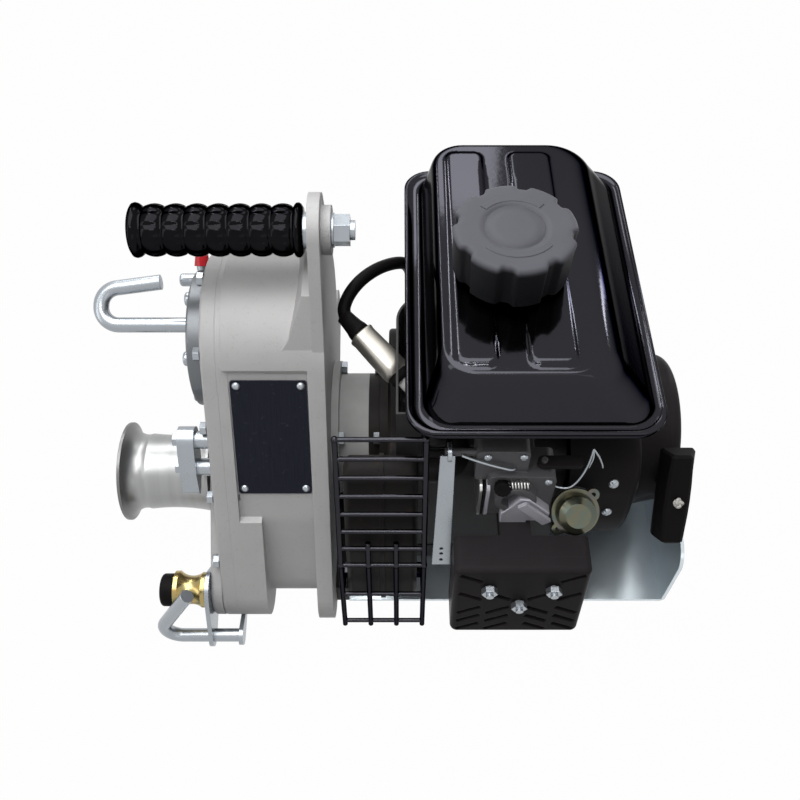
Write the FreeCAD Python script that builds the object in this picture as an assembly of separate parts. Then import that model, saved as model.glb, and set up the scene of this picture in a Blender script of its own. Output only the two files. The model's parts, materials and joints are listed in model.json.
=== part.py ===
import FreeCAD
import Part
import math
import os

V = FreeCAD.Vector
ALONG_X = V(1, 0, 0)
ALONG_Z = V(0, 0, 1)

# Fits
fit = 0.03
running_fit = 0.05
side_play = 0.4
widest_share = 0.45

# Gear train
first_module = 1.25
middle_module = 1.5
slow_module = 2.0
input_teeth = 15
first_teeth = 43
middle_pinion_teeth = 19
middle_gear_teeth = 46
slow_pinion_teeth = 14
output_teeth = 46
pressure_angle = 20.0
addendum_share = 0.8
dedendum_share = 1.0
backlash = 0.16
stage_widths = (9.0, 9.0, 11.0, 17.0)
stage_gap = 1.5
case_gap = 3.5

# Axes of the shafts
crank_height = 92.0
idler_angle = 103.1
layshaft_angle = 47.1
drum_angle = 254.5

# Gear case
case_right = -97.0
plate_thickness = 11.0
plate_lip = 2.5
case_wall = 8.5
cover_thickness = 10.0
nose_thickness = 8.0
case_top_radius = 58.0
gear_room = 2.0
foot_y = -91.0
foot_radius = 25.0
waist_back = 18.0
waist_rise = 4.5
rim_depth = 7.0
foot_depth = 22.0
foot_boss_top = 95.0
cover_bolt_depth = 6.0
ledge_height = 2.5
cover_bolt_count = 12
cover_bolt_radius = 2.5
anchor_lug_y = 88.0
anchor_lug_radius = 20.0
anchor_hole_radius = 10.0

# Bearings
small_bore = 7.5
small_outer = 16.0
small_width = 8.0
large_bore = 10.0
large_outer = 21.0
large_width = 9.0
axle_radius = 6.0

# Bearing cap and hooks
cap_step = 12.0
cap_thickness = 11.0
cap_bolt_inset = 7.0
cap_bolt_count = 6
exit_rod_radius = 5.0
exit_reach = 60.0
exit_spread = 28.0
exit_lean = 37.0
exit_bend = 11.6
exit_offset = (-10.4, 25.6)
nipple_angle = 48.0
nipple_cap_radius = 5.2
nipple_cap_length = 10.0
breather_radius = 4.4
breather_length = 12.0
breather_inset = 6.5
breather_stem = 6.0

# Capstan drum
drum_radius = 27.6
drum_flare_radius = 35.8
drum_length = 62.0
drum_gap = 2.5

# Entry roller and its hook
roller_y = -105.0
roller_z = 40.0
roller_waist = 10.0
roller_flange = 13.5
roller_length = 22.0
roller_pin_radius = 4.0
bracket_thickness = 3.0
bumper_radius = 11.5
bumper_length = 9.5
entry_rod_radius = 4.75
entry_rod_y = -127.0
entry_rod_z = 11.0

# Rope guard
guard_thickness = 11.0
guard_standoff = 9.0
guard_start = 53.3
guard_spacing = 20.2
guard_inset = 8.7

# Handle
handle_forward = 5.0
handle_rise = 95.0
handle_rod_radius = 6.0
grip_radius = 16.0
grip_length = 104.0
grip_valley = 13.6
handle_collar = 3.5
grip_bulges = 7
ear_radius = 22.5
ear_step = 3.5
web_width = 27.0

# Clutch
clutch_housing_radius = 39.0
clutch_housing_wall = 3.5
clutch_length = 39.0
clutch_drum_wall = 2.5
shoe_gap = 1.0
flange_bolt_step = 4.5
flange_bolt_count = 4

# Engine
case_cover_thickness = 8.0
crankcase_length = 110.0
crankcase_front = -62.0
crankcase_back = 65.0
crankcase_bottom = 12.0
crankcase_rise = 48.0
cylinder_lean = 17.0
cylinder_half = 36.0
cylinder_shift = 4.0
barrel_start = 40.0
barrel_end = 78.0
head_end = 98.0
fin_thickness = 2.4
fin_pitch = 6.3
crank_radius = 10.0
crank_throw = 21.0
crank_web_radius = 36.0
fan_ground = 16.0
fan_wall = 2.0
fan_length = 47.0
fan_front_depth = 40.0
fan_front_rise = 26.0
fan_front_radius = 38.0
blade_gap = 10.0
recoil_radius = 57.0
recoil_length = 35.0
recoil_mouth = 44.0
pulley_radius = 28.0
pulley_width = 10.0
starter_bar_length = 73.0
starter_bar_width = 24.0
starter_lean = 31.0
starter_gap = 17.8
rope_offset = 16.3
rope_radius = 2.0
rope_depth = 10.0
base_bolt_inset_x = 20.0
base_bolt_inset_y = 14.0

# Ignition
plug_offset = (-36.0, -36.0, 81.8)
plug_cap_start = 20.0
plug_cap_length = 50.0
lead_radius = 4.5
lead_share = 13 / 33
coil_left = 28.0
coil_length = 18.0
coil_front = 26.0
coil_back = 44.0
coil_share = 2 / 3
shroud_step = 2.5
shroud_rise = 104.0
shroud_sheet = 1.5
shroud_lip = 16.0
shroud_turn = 24.0
shroud_straight_end = 12.0
shroud_wrap = 13.0

# Muffler and its guard
muffler_left = -85.5
muffler_right = -38.7
cage_left = -90.0
cage_right = -33.0
cage_bar = 1.55
cage_upper_bars = 8
cage_lower_bars = 4

# Carburettor and its levers
carb_left = -4.0
carb_standoff = 14.0
carb_depth = 24.0
carb_floor_rise = 29.0
carb_top_rise = 88.0
bowl_radius = 14.0
bowl_height = 13.0
throttle_rise = 90.0
strap_thickness = 2.0

# Air cleaner
cleaner_left = -16.0
cleaner_right = 71.0
cleaner_top_rise = 29.0
cleaner_floor_drop = 49.0
cleaner_rake = 9.0
cleaner_gap = 14.0
cleaner_depth = 25.0
cleaner_split = 10.0
cleaner_wall = 2.5
cleaner_corner = 5.0
cleaner_brow = 4.5
stud_radius = 2.5
vent_rows = 3
vent_reaches = (13.0, 32.0)
vent_length = 17.0
vent_width = 4.0
vent_lean = 28.0
vent_start = 8.5
vent_pitch = 10.5
vent_clear = 12.5

# Nameplate
plate_length = 83.5
plate_width = 49.0
plate_middle_share = 0.441

# Tank
tank_clearance = 3.0
tank_depth = 42.0
tank_left = -47.0
tank_right = 103.0
tank_front = -91.0
tank_back = 133.0
tank_height = 45.0
tank_wall = 1.6
tank_seam_plate = 2.0
tank_shallow = 12.0
tank_foot_insets = (11.0, 8.0, 5.0, 9.0)
tank_top_insets = (18.0, 41.0, 8.0, 24.0)
tank_corner = 18.0
tank_lean = ((0.0, 0.0), (0.5, 0.35), (0.8, 0.6), (0.94, 0.8), (1.0, 1.0))
pad_height = 2.5
pad_corner = 7.0
pad_spans = ((-22.0, 4.0), (18.0, 47.0))
pad_front_inset = 6.0
pad_back_inset = 9.0
fuel_cap_place = (13.4, -5.4)
fuel_cap_lift = 5.0
fuel_cap_radius = 35.0
fuel_cap_height = 29.5
cap_notches = 8
cap_notch_radius = 5.0
cap_notch_depth = 2.8

# Base sheet
sheet = 2.5
base_left = -88.0
base_half_depth = 96.0
base_flange_height = 70.0
base_hole_inset = 13.0
base_hole_edge = 14.0
base_hole_radius = 4.5


def polar(centre, distance, angle):
    turn = math.radians(angle)
    return (centre[0] + distance * math.cos(turn), centre[1] + distance * math.sin(turn))


def between(a, b, share):
    return (a[0] + (b[0] - a[0]) * share, a[1] + (b[1] - a[1]) * share)


def rod(left, right, axis, radius):
    return Part.makeCylinder(radius, right - left, V(left, axis[0], axis[1]), ALONG_X)


def tube(left, right, axis, outer, inner):
    return rod(left, right, axis, outer).cut(rod(left - 1, right + 1, axis, inner))


def block(x0, x1, y0, y1, z0, z1):
    return Part.makeBox(x1 - x0, y1 - y0, z1 - z0, V(x0, y0, z0))


def join(shapes):
    first = shapes[0]
    if len(shapes) == 1:
        return first
    return first.fuse(shapes[1:]).removeSplitter()


def straight_along(shape, direction):
    picked = []
    for edge in shape.Edges:
        if len(edge.Vertexes) == 2 and isinstance(edge.Curve, Part.Line):
            if abs(edge.tangentAt(edge.FirstParameter).dot(direction)) > 0.999:
                picked.append(edge)
    return picked


def soft_block(x0, x1, y0, y1, z0, z1, direction, radius):
    shape = block(x0, x1, y0, y1, z0, z1)
    return shape.makeFillet(radius, straight_along(shape, direction))


def edges_at(shape, axis, value):
    picked = []
    for edge in shape.Edges:
        box = edge.BoundBox
        low = (box.XMin, box.YMin, box.ZMin)[axis]
        high = (box.XMax, box.YMax, box.ZMax)[axis]
        if abs(low - value) < 0.01 and abs(high - value) < 0.01:
            picked.append(edge)
    return picked


def hull_wire(circles, x):
    order = []
    steps = 1440
    for step in range(steps):
        turn = 2 * math.pi * step / steps
        ny, nz = math.cos(turn), math.sin(turn)
        reach = [ny * c[0][0] + nz * c[0][1] + c[1] for c in circles]
        best = reach.index(max(reach))
        if not order or order[-1] != best:
            order.append(best)
    if len(order) > 1 and order[0] == order[-1]:
        order.pop()
    if len(order) == 1:
        centre, radius = circles[order[0]]
        return Part.Wire(Part.makeCircle(radius, V(x, centre[0], centre[1]), ALONG_X))
    normals = []
    for k, index in enumerate(order):
        (c0, r0), (c1, r1) = circles[index], circles[order[(k + 1) % len(order)]]
        dy, dz = c1[0] - c0[0], c1[1] - c0[1]
        span = math.hypot(dy, dz)
        dy, dz = dy / span, dz / span
        along = (r0 - r1) / span
        across = math.sqrt(1 - along * along)
        normals.append((dy * along + dz * across, dz * along - dy * across))
    edges = []
    for k, index in enumerate(order):
        centre, radius = circles[index]
        n_in, n_out = normals[k - 1], normals[k]
        start = math.atan2(n_in[1], n_in[0])
        sweep = (math.atan2(n_out[1], n_out[0]) - start) % (2 * math.pi)
        ends = []
        for part_turn in (0.0, 0.5, 1.0):
            turn = start + sweep * part_turn
            ends.append(V(x, centre[0] + radius * math.cos(turn), centre[1] + radius * math.sin(turn)))
        edges.append(Part.Arc(*ends).toShape())
        after, radius_after = circles[order[(k + 1) % len(order)]]
        far = V(x, after[0] + radius_after * n_out[0], after[1] + radius_after * n_out[1])
        edges.append(Part.makeLine(ends[2], far))
    return Part.Wire(Part.__sortEdges__(edges))


def hull(circles, left, right):
    return Part.Face(hull_wire(circles, left)).extrude(V(right - left, 0, 0))


def grown(circles, amount):
    return [(centre, radius + amount) for centre, radius in circles]


def turned(profile, axis):
    edges = []
    first = V(profile[0][0], axis[0], axis[1] + profile[0][1])
    here = first
    for point in profile[1:] + [profile[0]]:
        there = V(point[-2], axis[0], axis[1] + point[-1])
        if len(point) == 4:
            middle = V(point[0], axis[0], axis[1] + point[1])
            edges.append(Part.Arc(here, middle, there).toShape())
        elif here.distanceToPoint(there) > 1e-6:
            edges.append(Part.makeLine(here, there))
        here = there
    return Part.Face(Part.Wire(edges)).revolve(V(0, axis[0], axis[1]), ALONG_X, 360)


def bent_rod(points, bend, radius):
    """Round bar through the points; with no bend given each turn is as wide as its runs allow"""
    path = []
    here = points[0]
    for k in range(1, len(points) - 1):
        corner = points[k]
        back = (points[k - 1] - corner).normalize()
        ahead = (points[k + 1] - corner).normalize()
        half = back.getAngle(ahead) / 2
        if bend is None:
            run = min(corner.distanceToPoint(points[k - 1]), corner.distanceToPoint(points[k + 1]))
            turn_radius = widest_share * run * math.tan(half)
        else:
            turn_radius = bend
        cut = turn_radius / math.tan(half)
        start, end = corner + back * cut, corner + ahead * cut
        inward = (back + ahead).normalize()
        middle = corner + inward * (turn_radius / math.sin(half) - turn_radius)
        if here.distanceToPoint(start) > 1e-6:
            path.append(Part.makeLine(here, start))
        path.append(Part.Arc(start, middle, end).toShape())
        here = end
    path.append(Part.makeLine(here, points[-1]))
    ring = Part.Wire(Part.makeCircle(radius, points[0], (points[1] - points[0]).normalize()))
    return Part.Wire(path).makePipeShell([ring], True, True)


def placed(shape, at, along):
    copy = shape.copy()
    copy.Placement = FreeCAD.Placement(at, FreeCAD.Rotation(ALONG_X, along)).multiply(shape.Placement)
    return copy


def hexagon(left, right, across):
    corners = []
    for k in range(7):
        turn = math.radians(60 * k)
        corners.append(V(left, across / math.sqrt(3) * math.cos(turn),
                         across / math.sqrt(3) * math.sin(turn)))
    return Part.Face(Part.makePolygon(corners)).extrude(V(right - left, 0, 0))


def hex_bolt(at, outward, radius, length, across, height):
    shape = hexagon(0, height, across).fuse(rod(-length, 0, (0, 0), radius))
    return placed(shape.removeSplitter(), at, outward)


def gear_radii(teeth, module):
    pitch = module * teeth / 2
    return pitch, pitch + addendum_share * module, pitch - dedendum_share * module


def spur_gear(teeth, module, left, right, axis, toward, tooth_there):
    pitch, tip, root = gear_radii(teeth, module)
    base = pitch * math.cos(math.radians(pressure_angle))
    roll = math.tan(math.radians(pressure_angle)) - math.radians(pressure_angle)
    half_pitch = math.pi / 2 / teeth - backlash / 4 / pitch
    flank = []
    low = max(root, base)
    flank_steps = 4
    for k in range(flank_steps + 1):
        radius = low + (tip - low) * k / flank_steps
        lean = math.acos(base / radius)
        flank.append((radius, half_pitch + roll - (math.tan(lean) - lean)))
    if root < base:
        flank.insert(0, (root, flank[0][1]))
    corners = []
    for tooth in range(teeth):
        centre = math.radians(toward) + (tooth + (0 if tooth_there else 0.5)) * 2 * math.pi / teeth
        for radius, half in flank:
            corners.append((radius, centre - half))
        for radius, half in reversed(flank):
            corners.append((radius, centre + half))
    points = [V(left, axis[0] + r * math.cos(a), axis[1] + r * math.sin(a)) for r, a in corners]
    return Part.Face(Part.makePolygon(points + [points[0]])).extrude(V(right - left, 0, 0))


def moved(shape, axis):
    copy = shape.copy()
    copy.translate(V(0, axis[0], axis[1]))
    return copy


def angle_to(start, end):
    return math.degrees(math.atan2(end[1] - start[1], end[0] - start[0]))


# Places that follow from the sizes
crank = (0.0, crank_height)
fan_radius = crank_height - fan_ground
flywheel_radius = fan_radius - fan_wall - blade_gap
base_hole_x = -base_left - base_hole_inset
base_hole_y = base_half_depth - base_hole_edge
idler = polar(crank, first_module * (input_teeth + first_teeth) / 2, idler_angle)
middle_centres = middle_module * (middle_pinion_teeth + middle_gear_teeth) / 2
layshaft_axis = polar(idler, middle_centres, layshaft_angle)
drum_axis = polar(idler, slow_module * (slow_pinion_teeth + output_teeth) / 2, drum_angle)
plate_left = case_right - plate_thickness
ear_left = plate_left + ear_step
stages = []
edge = plate_left - case_gap
for width in stage_widths:
    stages.append((edge - width, edge))
    edge -= width + stage_gap
parting = stages[3][0] - case_gap
cover_face = parting - cover_thickness
nose_face = cover_face - nose_thickness
cap_face = cover_face - cap_thickness
cap_radius = case_top_radius - cap_step
cap_bolt_circle = cap_radius - cap_bolt_inset
exit_axis = (layshaft_axis[0] + exit_offset[0], layshaft_axis[1] + exit_offset[1])
drum_right = nose_face - drum_gap
drum_left = drum_right - drum_length
roller_right = nose_face - bracket_thickness - side_play
roller_left = roller_right - roller_length
grip_right = ear_left - handle_collar
grip_left = grip_right - grip_length
output_tip = gear_radii(output_teeth, slow_module)[1]
foot = (foot_y, foot_radius + plate_lip)
drum_case_radius = output_tip + gear_room + case_wall
case_circles = [(layshaft_axis, case_top_radius), (drum_axis, drum_case_radius), (foot, foot_radius)]
waist = (foot[0] + waist_back, foot[1] + waist_rise)
waist_circles = case_circles[:2] + [(waist, foot_radius)]
handle_axis = (layshaft_axis[0] + handle_forward, layshaft_axis[1] + handle_rise)
anchor_axis = (anchor_lug_y, crank_height + 22)
roller_axis = (roller_y, roller_z)
engine_left = case_right + clutch_length
crankcase_left = engine_left + case_cover_thickness
crankcase_right = crankcase_left + crankcase_length
crankcase_top = crank_height + crankcase_rise
fan_left = crankcase_right
fan_right = fan_left + fan_length
recoil_right = fan_right + recoil_length
tank_floor = crank_height + fan_radius + tank_clearance + 2
seam = tank_floor + tank_depth
tank_top = seam + tank_height
cap_centre = V(fuel_cap_place[0], fuel_cap_place[1], 0)
cap_floor = tank_top + fuel_cap_lift
base_right = recoil_right + 4 + sheet
boss_length = small_width + 3
boss_right = case_right + boss_length
clutch_drum_radius = clutch_housing_radius - clutch_housing_wall - 1.5
clutch_web_left = boss_right + 2
clutch_web_right = clutch_web_left + 3
clutch_mouth = engine_left - 4
shoe_radius = clutch_drum_radius - clutch_drum_wall - shoe_gap
hub_left = clutch_web_right + 2
hub_right = clutch_mouth - 2
cylinder_x = (crankcase_left + crankcase_right) / 2 - cylinder_shift
plug_seat = V(cylinder_x + plug_offset[0], plug_offset[1], crank_height + plug_offset[2])
plug_way = V(-34, 34, 15).normalize()
lead_run = crankcase_top + (tank_floor - crankcase_top) * lead_share
shroud_left = crankcase_left - shroud_step
shroud_top = crank_height + shroud_rise
guard_high = (-81.0, crank_height + 105)
guard_bend = (-116.0, crank_height + 11)
guard_low = (-126.0, crank_height - 56)
muffler_high = (-77.0, crank_height + 60)
muffler_mid = (-90.0, crank_height + 12)
muffler_low = (-98.0, crank_height - 34)
carb_front = -fan_radius - carb_standoff
carb_back = carb_front + carb_depth
carb_floor = crank_height + carb_floor_rise
carb_top = crank_height + carb_top_rise
bowl_way = V(0, -0.7, 0.714).normalize()
bowl_base = V(carb_left + 67, carb_front + 2, carb_floor + 3)
throttle_pivot = (carb_front + 10, crank_height + throttle_rise)
throttle_foot = (carb_front - 16, crank_height - 2)
choke_place = V(carb_left + 42, carb_front + 10, carb_top - 6)
cleaner_back = carb_front - cleaner_gap
cleaner_front = cleaner_back - cleaner_depth
cleaner_top = crank_height + cleaner_top_rise
cleaner_floor = crank_height - cleaner_floor_drop
stud_places = [V(7, 0, crank_height + 10), V(48, 0, crank_height + 10), V(27.5, 0, crank_height - 8)]
fan_front = ((fan_front_depth - fan_radius, crank_height + fan_front_rise), fan_front_radius)
rope_x = recoil_right - rope_depth
pulley_left = rope_x - pulley_width / 2
pulley_right = rope_x + pulley_width / 2
starter_turn = math.radians(starter_lean)
pull_way = V(0, -math.cos(starter_turn), math.sin(starter_turn))
across_pull = V(0, math.sin(starter_turn), math.cos(starter_turn))
starter_middle = V(rope_x, *crank) + pull_way * (recoil_radius + starter_gap) - across_pull * rope_offset


def front_frame(circles):
    """Outward normal and the two ends of the flat front wall below the top bearing"""
    best = None
    (c0, r0) = circles[0]
    for c1, r1 in circles[1:]:
        dy, dz = c1[0] - c0[0], c1[1] - c0[1]
        span = math.hypot(dy, dz)
        along = (r0 - r1) / span
        across = math.sqrt(1 - along * along)
        normal = (dy / span * along + dz / span * across, dz / span * along - dy / span * across)
        turn = math.atan2(normal[1], normal[0]) % (2 * math.pi)
        high = (c0[0] + r0 * normal[0], c0[1] + r0 * normal[1])
        low = (c1[0] + r1 * normal[0], c1[1] + r1 * normal[1])
        if best is None or turn < best[0]:
            best = (turn, normal, high, low)
    return best[1:]


def on_front_line(distance, inset):
    normal, high, low = front_frame(case_circles)
    span = math.hypot(low[0] - high[0], low[1] - high[1])
    return (high[0] + (low[0] - high[0]) * distance / span - normal[0] * inset,
            high[1] + (low[1] - high[1]) * distance / span - normal[1] * inset)


def spaced_clear_of(keep_off, wire):
    """Even places along a wire, the nearest two half a pitch from the point to keep off"""
    steps = cover_bolt_count * 40
    points = [(p.y, p.z) for p in wire.discretize(Number=steps + 1)[:-1]]
    gaps = [math.hypot(p[0] - keep_off[0], p[1] - keep_off[1]) for p in points]
    first = gaps.index(min(gaps)) + steps // cover_bolt_count // 2
    return [points[(first + k * steps // cover_bolt_count) % steps] for k in range(cover_bolt_count)]


# Fastener places
cover_bolts = spaced_clear_of(roller_axis, hull_wire(grown(case_circles, -case_wall / 2), parting))
cap_bolts = []
for k in range(cap_bolt_count):
    cap_bolts.append(polar(layshaft_axis, cap_bolt_circle, 30 + 360 * k / cap_bolt_count))
guard_bolts = [on_front_line(guard_start, guard_inset), on_front_line(guard_start + guard_spacing,
                                                                      guard_inset)]
flange_bolts = []
for k in range(flange_bolt_count):
    flange_bolts.append(polar(crank, clutch_housing_radius + flange_bolt_step,
                              45 + 360 * k / flange_bolt_count))
base_bolt_places = []
for x in (crankcase_left + base_bolt_inset_x, crankcase_right - base_bolt_inset_x):
    for y in (crankcase_front + base_bolt_inset_y, crankcase_back - base_bolt_inset_y):
        base_bolt_places.append((x, y))


def make_housing():
    shell = hull(waist_circles, parting, case_right)
    rim = hull(case_circles, parting, parting + rim_depth)
    foot_boss = hull(case_circles, parting, parting + foot_depth)
    foot_boss = foot_boss.common(block(parting, parting + foot_depth, -200, 0, 0, foot_boss_top))
    plate = hull(grown(case_circles, plate_lip) + [(crank, clutch_housing_radius + 12)], plate_left,
                 case_right)
    ear = hull([(layshaft_axis, case_top_radius), (handle_axis, ear_radius)], ear_left, case_right)
    lug = hull([(crank, clutch_housing_radius), (anchor_axis, anchor_lug_radius)], plate_left, case_right)
    ledge = rod(parting + 4, plate_left, layshaft_axis, case_top_radius + ledge_height)
    ledge = ledge.common(block(parting, plate_left, -200, 200, layshaft_axis[1] + 30, 400))
    web_top, web_foot = handle_axis[1] - ear_radius, front_frame(waist_circles)[1][1]
    corners = [V(ear_left, -200, web_top), V(ear_left - 5, -200, web_top),
               V(plate_left - 11, -200, web_top - 26),
               V(plate_left - web_width, -200, web_foot), V(ear_left, -200, web_foot)]
    wedge = Part.Face(Part.makePolygon(corners + [corners[0]])).extrude(V(0, 400, 0))
    gusset = hull([(layshaft_axis, case_top_radius + 0.5), (handle_axis, ear_radius - 4)],
                  plate_left - web_width, ear_left)
    gusset = gusset.common(wedge)
    handle_boss = rod(case_right, case_right + 6, handle_axis, 15)
    boss = rod(case_right, boss_right, crank, small_outer + 5)
    body = join([shell, rim, foot_boss, plate, ear, lug, ledge, gusset, handle_boss, boss])
    room = hull(grown(waist_circles, -case_wall), parting - 1, plate_left)
    cuts = [room]
    cuts.append(rod(plate_left - 1, plate_left + small_width, layshaft_axis, small_outer + fit))
    cuts.append(rod(plate_left - 1, plate_left + large_width, drum_axis, small_outer + fit))
    cuts.append(rod(plate_left - 1, plate_left + small_width, idler, axle_radius + fit))
    cuts.append(rod(case_right - 1 + 4, boss_right + 1, crank, small_outer + fit))
    cuts.append(rod(plate_left - 1, boss_right, crank, small_bore + 1.5))
    cuts.append(rod(plate_left - 20, case_right + 10, handle_axis, handle_rod_radius + fit))
    cuts.append(rod(plate_left - 1, case_right + 1, anchor_axis, anchor_hole_radius))
    for place in cover_bolts:
        cuts.append(rod(parting - 1, parting + cover_bolt_depth + 2, place, cover_bolt_radius + fit))
    return body.cut(cuts)


def make_cover():
    flat = hull(case_circles, cover_face, parting)
    flat = flat.makeFillet(2.0, edges_at(flat, 0, cover_face))
    nose = hull([(drum_axis, large_outer + 12), (foot, foot_radius)], nose_face, cover_face)
    nose = nose.makeFillet(3.0, edges_at(nose, 0, nose_face))
    cuts = []
    for place in cover_bolts:
        cuts.append(rod(nose_face - 1, parting + 1, place, cover_bolt_radius + fit))
        cuts.append(rod(nose_face - 1, cover_face, place, cover_bolt_radius + 4))
    cuts.append(rod(parting - small_width, parting + 1, layshaft_axis, small_outer + fit))
    cuts.append(rod(parting - 8, parting + 1, idler, axle_radius + fit))
    cuts.append(rod(parting - large_width, parting + 1, drum_axis, large_outer + fit))
    cuts.append(rod(nose_face - 1, parting, drum_axis, large_bore + 1))
    for place in cap_bolts:
        cuts.append(rod(cover_face - 1, cover_face + 7, place, cover_bolt_radius + fit))
    for place in guard_bolts:
        cuts.append(rod(cover_face - 1, cover_face + 7, place, cover_bolt_radius + fit))
    cuts.append(rod(nose_face - 1, nose_face + 14, roller_axis, roller_pin_radius + fit))
    return join([flat, nose]).cut(cuts)


def make_case_bolts():
    bolts = []
    outward = V(-1, 0, 0)
    for place in cover_bolts:
        bolts.append(hex_bolt(V(cover_face, *place), outward, cover_bolt_radius,
                              cover_thickness + cover_bolt_depth, 8, 4))
    for place in cap_bolts:
        head = rod(0, 3.2, (0, 0), 4.8)
        head = head.makeFillet(2, edges_at(head, 0, 3.2))
        stem = rod(-cap_thickness - 6, 0, (0, 0), cover_bolt_radius)
        bolts.append(placed(head.fuse(stem).removeSplitter(), V(cap_face, *place), outward))
    guard_face = cover_face - guard_standoff - guard_thickness
    for place in guard_bolts:
        bolts.append(hex_bolt(V(guard_face, *place), outward, cover_bolt_radius,
                              guard_standoff + guard_thickness + 6, 8, 4))
    bolts.append(make_nipple())
    bolts.append(make_breather())
    return Part.makeCompound(bolts)


def make_bearing_cap():
    shape = rod(cap_face, cover_face, layshaft_axis, cap_radius)
    shape = shape.makeFillet(1.5, edges_at(shape, 0, cap_face))
    cuts = [rod(cap_face - 1, cover_face + 1, place, cover_bolt_radius + fit) for place in cap_bolts]
    cuts.append(rod(cap_face - 1, cap_face + 8, exit_axis, exit_rod_radius + fit))
    nipple = nipple_place()
    cuts.append(Part.makeCylinder(2 + fit, 8, nipple - nipple_way() * 8, nipple_way()))
    cuts.append(rod(cap_face - 1, cap_face + breather_stem, breather_place(), cover_bolt_radius + fit))
    return shape.cut(cuts)


def nipple_way():
    turn = math.radians(nipple_angle)
    return V(0, math.cos(turn), math.sin(turn))


def nipple_place():
    way = nipple_way() * cap_radius
    return V(cap_face + 3.2, layshaft_axis[0] + way.y, layshaft_axis[1] + way.z)


def make_nipple():
    stem = rod(-8, 0, (0, 0), 2).fuse(rod(0, 3, (0, 0), 3.6))
    return placed(stem.removeSplitter(), nipple_place(), nipple_way())


def breather_place():
    return polar(layshaft_axis, cap_radius - breather_inset, nipple_angle)


def make_breather():
    tip = cap_face - breather_length
    body = rod(tip, cap_face, breather_place(), breather_radius)
    body = body.makeFillet(breather_radius * 0.45, edges_at(body, 0, tip))
    stem = rod(cap_face, cap_face + breather_stem, breather_place(), cover_bolt_radius)
    return body.fuse(stem).removeSplitter()


def make_nipple_cap():
    profile = [(3, 0), (3, nipple_cap_radius), (nipple_cap_length, nipple_cap_radius - 0.8),
               (nipple_cap_length + 1.5, nipple_cap_radius - 2.5), (nipple_cap_length + 1.5, 0)]
    return placed(turned(profile, (0, 0)), nipple_place(), nipple_way())


def make_exit_hook():
    lean = math.radians(exit_lean)
    way = V(0, math.cos(lean), math.sin(lean))
    start = V(cap_face + 7, *exit_axis)
    first = V(cap_face - exit_reach, *exit_axis)
    second = first + way * (exit_spread - 5) + V(1.5, 0, 0)
    tip = V(cap_face - 20, *exit_axis) + way * exit_spread
    return bent_rod([start, first, second, tip], exit_bend, exit_rod_radius)


def make_entry_bracket():
    left = nose_face - bracket_thickness
    rod_axis = (entry_rod_y, entry_rod_z)
    plate = hull([(roller_axis, 14), (rod_axis, 8), ((roller_y + 16, roller_z - 12), 10)], left, nose_face)
    points = [V(parting + 3, *rod_axis), V(left - 40, *rod_axis),
              V(left - 8, entry_rod_y + 6, entry_rod_z + 54)]
    hook = bent_rod(points, 12, entry_rod_radius)
    tab = hull([(rod_axis, 7), (polar(foot, foot_radius, 222), 3)], parting, parting + 3)
    reach = rod(parting - 1, parting + 4, foot, foot_radius + 0.05)
    shape = join([plate, hook, tab.cut(reach)])
    return shape.cut(rod(left - 1, nose_face + 1, roller_axis, roller_pin_radius + fit))


def make_guide_roller():
    profile = [(roller_left, roller_pin_radius + running_fit), (roller_left, roller_flange),
               (roller_left + 3, roller_flange),
               ((roller_left + roller_right) / 2, roller_waist, roller_right - 3, roller_flange - 1),
               (roller_right, roller_flange - 1), (roller_right, roller_pin_radius + running_fit)]
    return turned(profile, roller_axis)


def make_roller_pin():
    return rod(roller_left - side_play - bumper_length + 2, nose_face + 13, roller_axis, roller_pin_radius)


def make_bumper():
    right = roller_left - side_play
    shape = rod(right - bumper_length, right, roller_axis, bumper_radius)
    shape = shape.makeFillet(2.5, edges_at(shape, 0, right - bumper_length))
    return shape.cut(rod(right - bumper_length + 2 - fit, right + 1, roller_axis, roller_pin_radius + fit))


def make_rope_guard():
    right = cover_face - guard_standoff
    plate = hull([(guard_bolts[0], 9), (guard_bolts[1], 9), (polar(guard_bolts[1], 16, 232), 3)],
                 right - guard_thickness, right)
    posts = [rod(right, cover_face, place, 6) for place in guard_bolts]
    holes = [rod(right - guard_thickness - 1, cover_face + 1, place,
                 cover_bolt_radius + fit) for place in guard_bolts]
    return join([plate] + posts).cut(holes)


def make_drum():
    flare_start = drum_left + 17
    profile = [(drum_right, large_bore + fit), (drum_right, drum_radius + 1.5),
               (drum_right - 2, drum_radius + 1.5),
               ((drum_right + flare_start) / 2, drum_radius - 0.9, flare_start, drum_radius),
               (drum_left + 6, drum_radius + 1.9, drum_left + 2.5, drum_flare_radius - 1.2),
               (drum_left + 2, drum_flare_radius), (drum_left, drum_flare_radius),
               (drum_left, drum_flare_radius - 3),
               (drum_left + 8, drum_radius - 3.5), (drum_left + 22, drum_radius - 4.5),
               (drum_left + 22, large_bore + fit)]
    return turned(profile, drum_axis)


def make_drum_shaft():
    right = plate_left + large_width - 0.5
    parts = [rod(parting - 2, right, drum_axis, large_bore),
             rod(drum_left + 12, parting - 1, drum_axis, large_bore)]
    parts.append(moved(hexagon(drum_left + 22 - 9, drum_left + 22, 30), drum_axis))
    parts.append(rod(stages[3][1], stages[3][1] + 3, drum_axis, large_bore + 4))
    return join(parts)


def make_output_gear():
    gear = spur_gear(output_teeth, slow_module, stages[3][0], stages[3][1], drum_axis,
                     angle_to(drum_axis, idler), False)
    cuts = [rod(stages[3][0] - 1, stages[3][1] + 1, drum_axis, large_bore + fit)]
    for k in range(6):
        cuts.append(rod(stages[3][0] - 1, stages[3][1] + 1, polar(drum_axis, 29, 60 * k), 8))
    return gear.cut(cuts)


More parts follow.
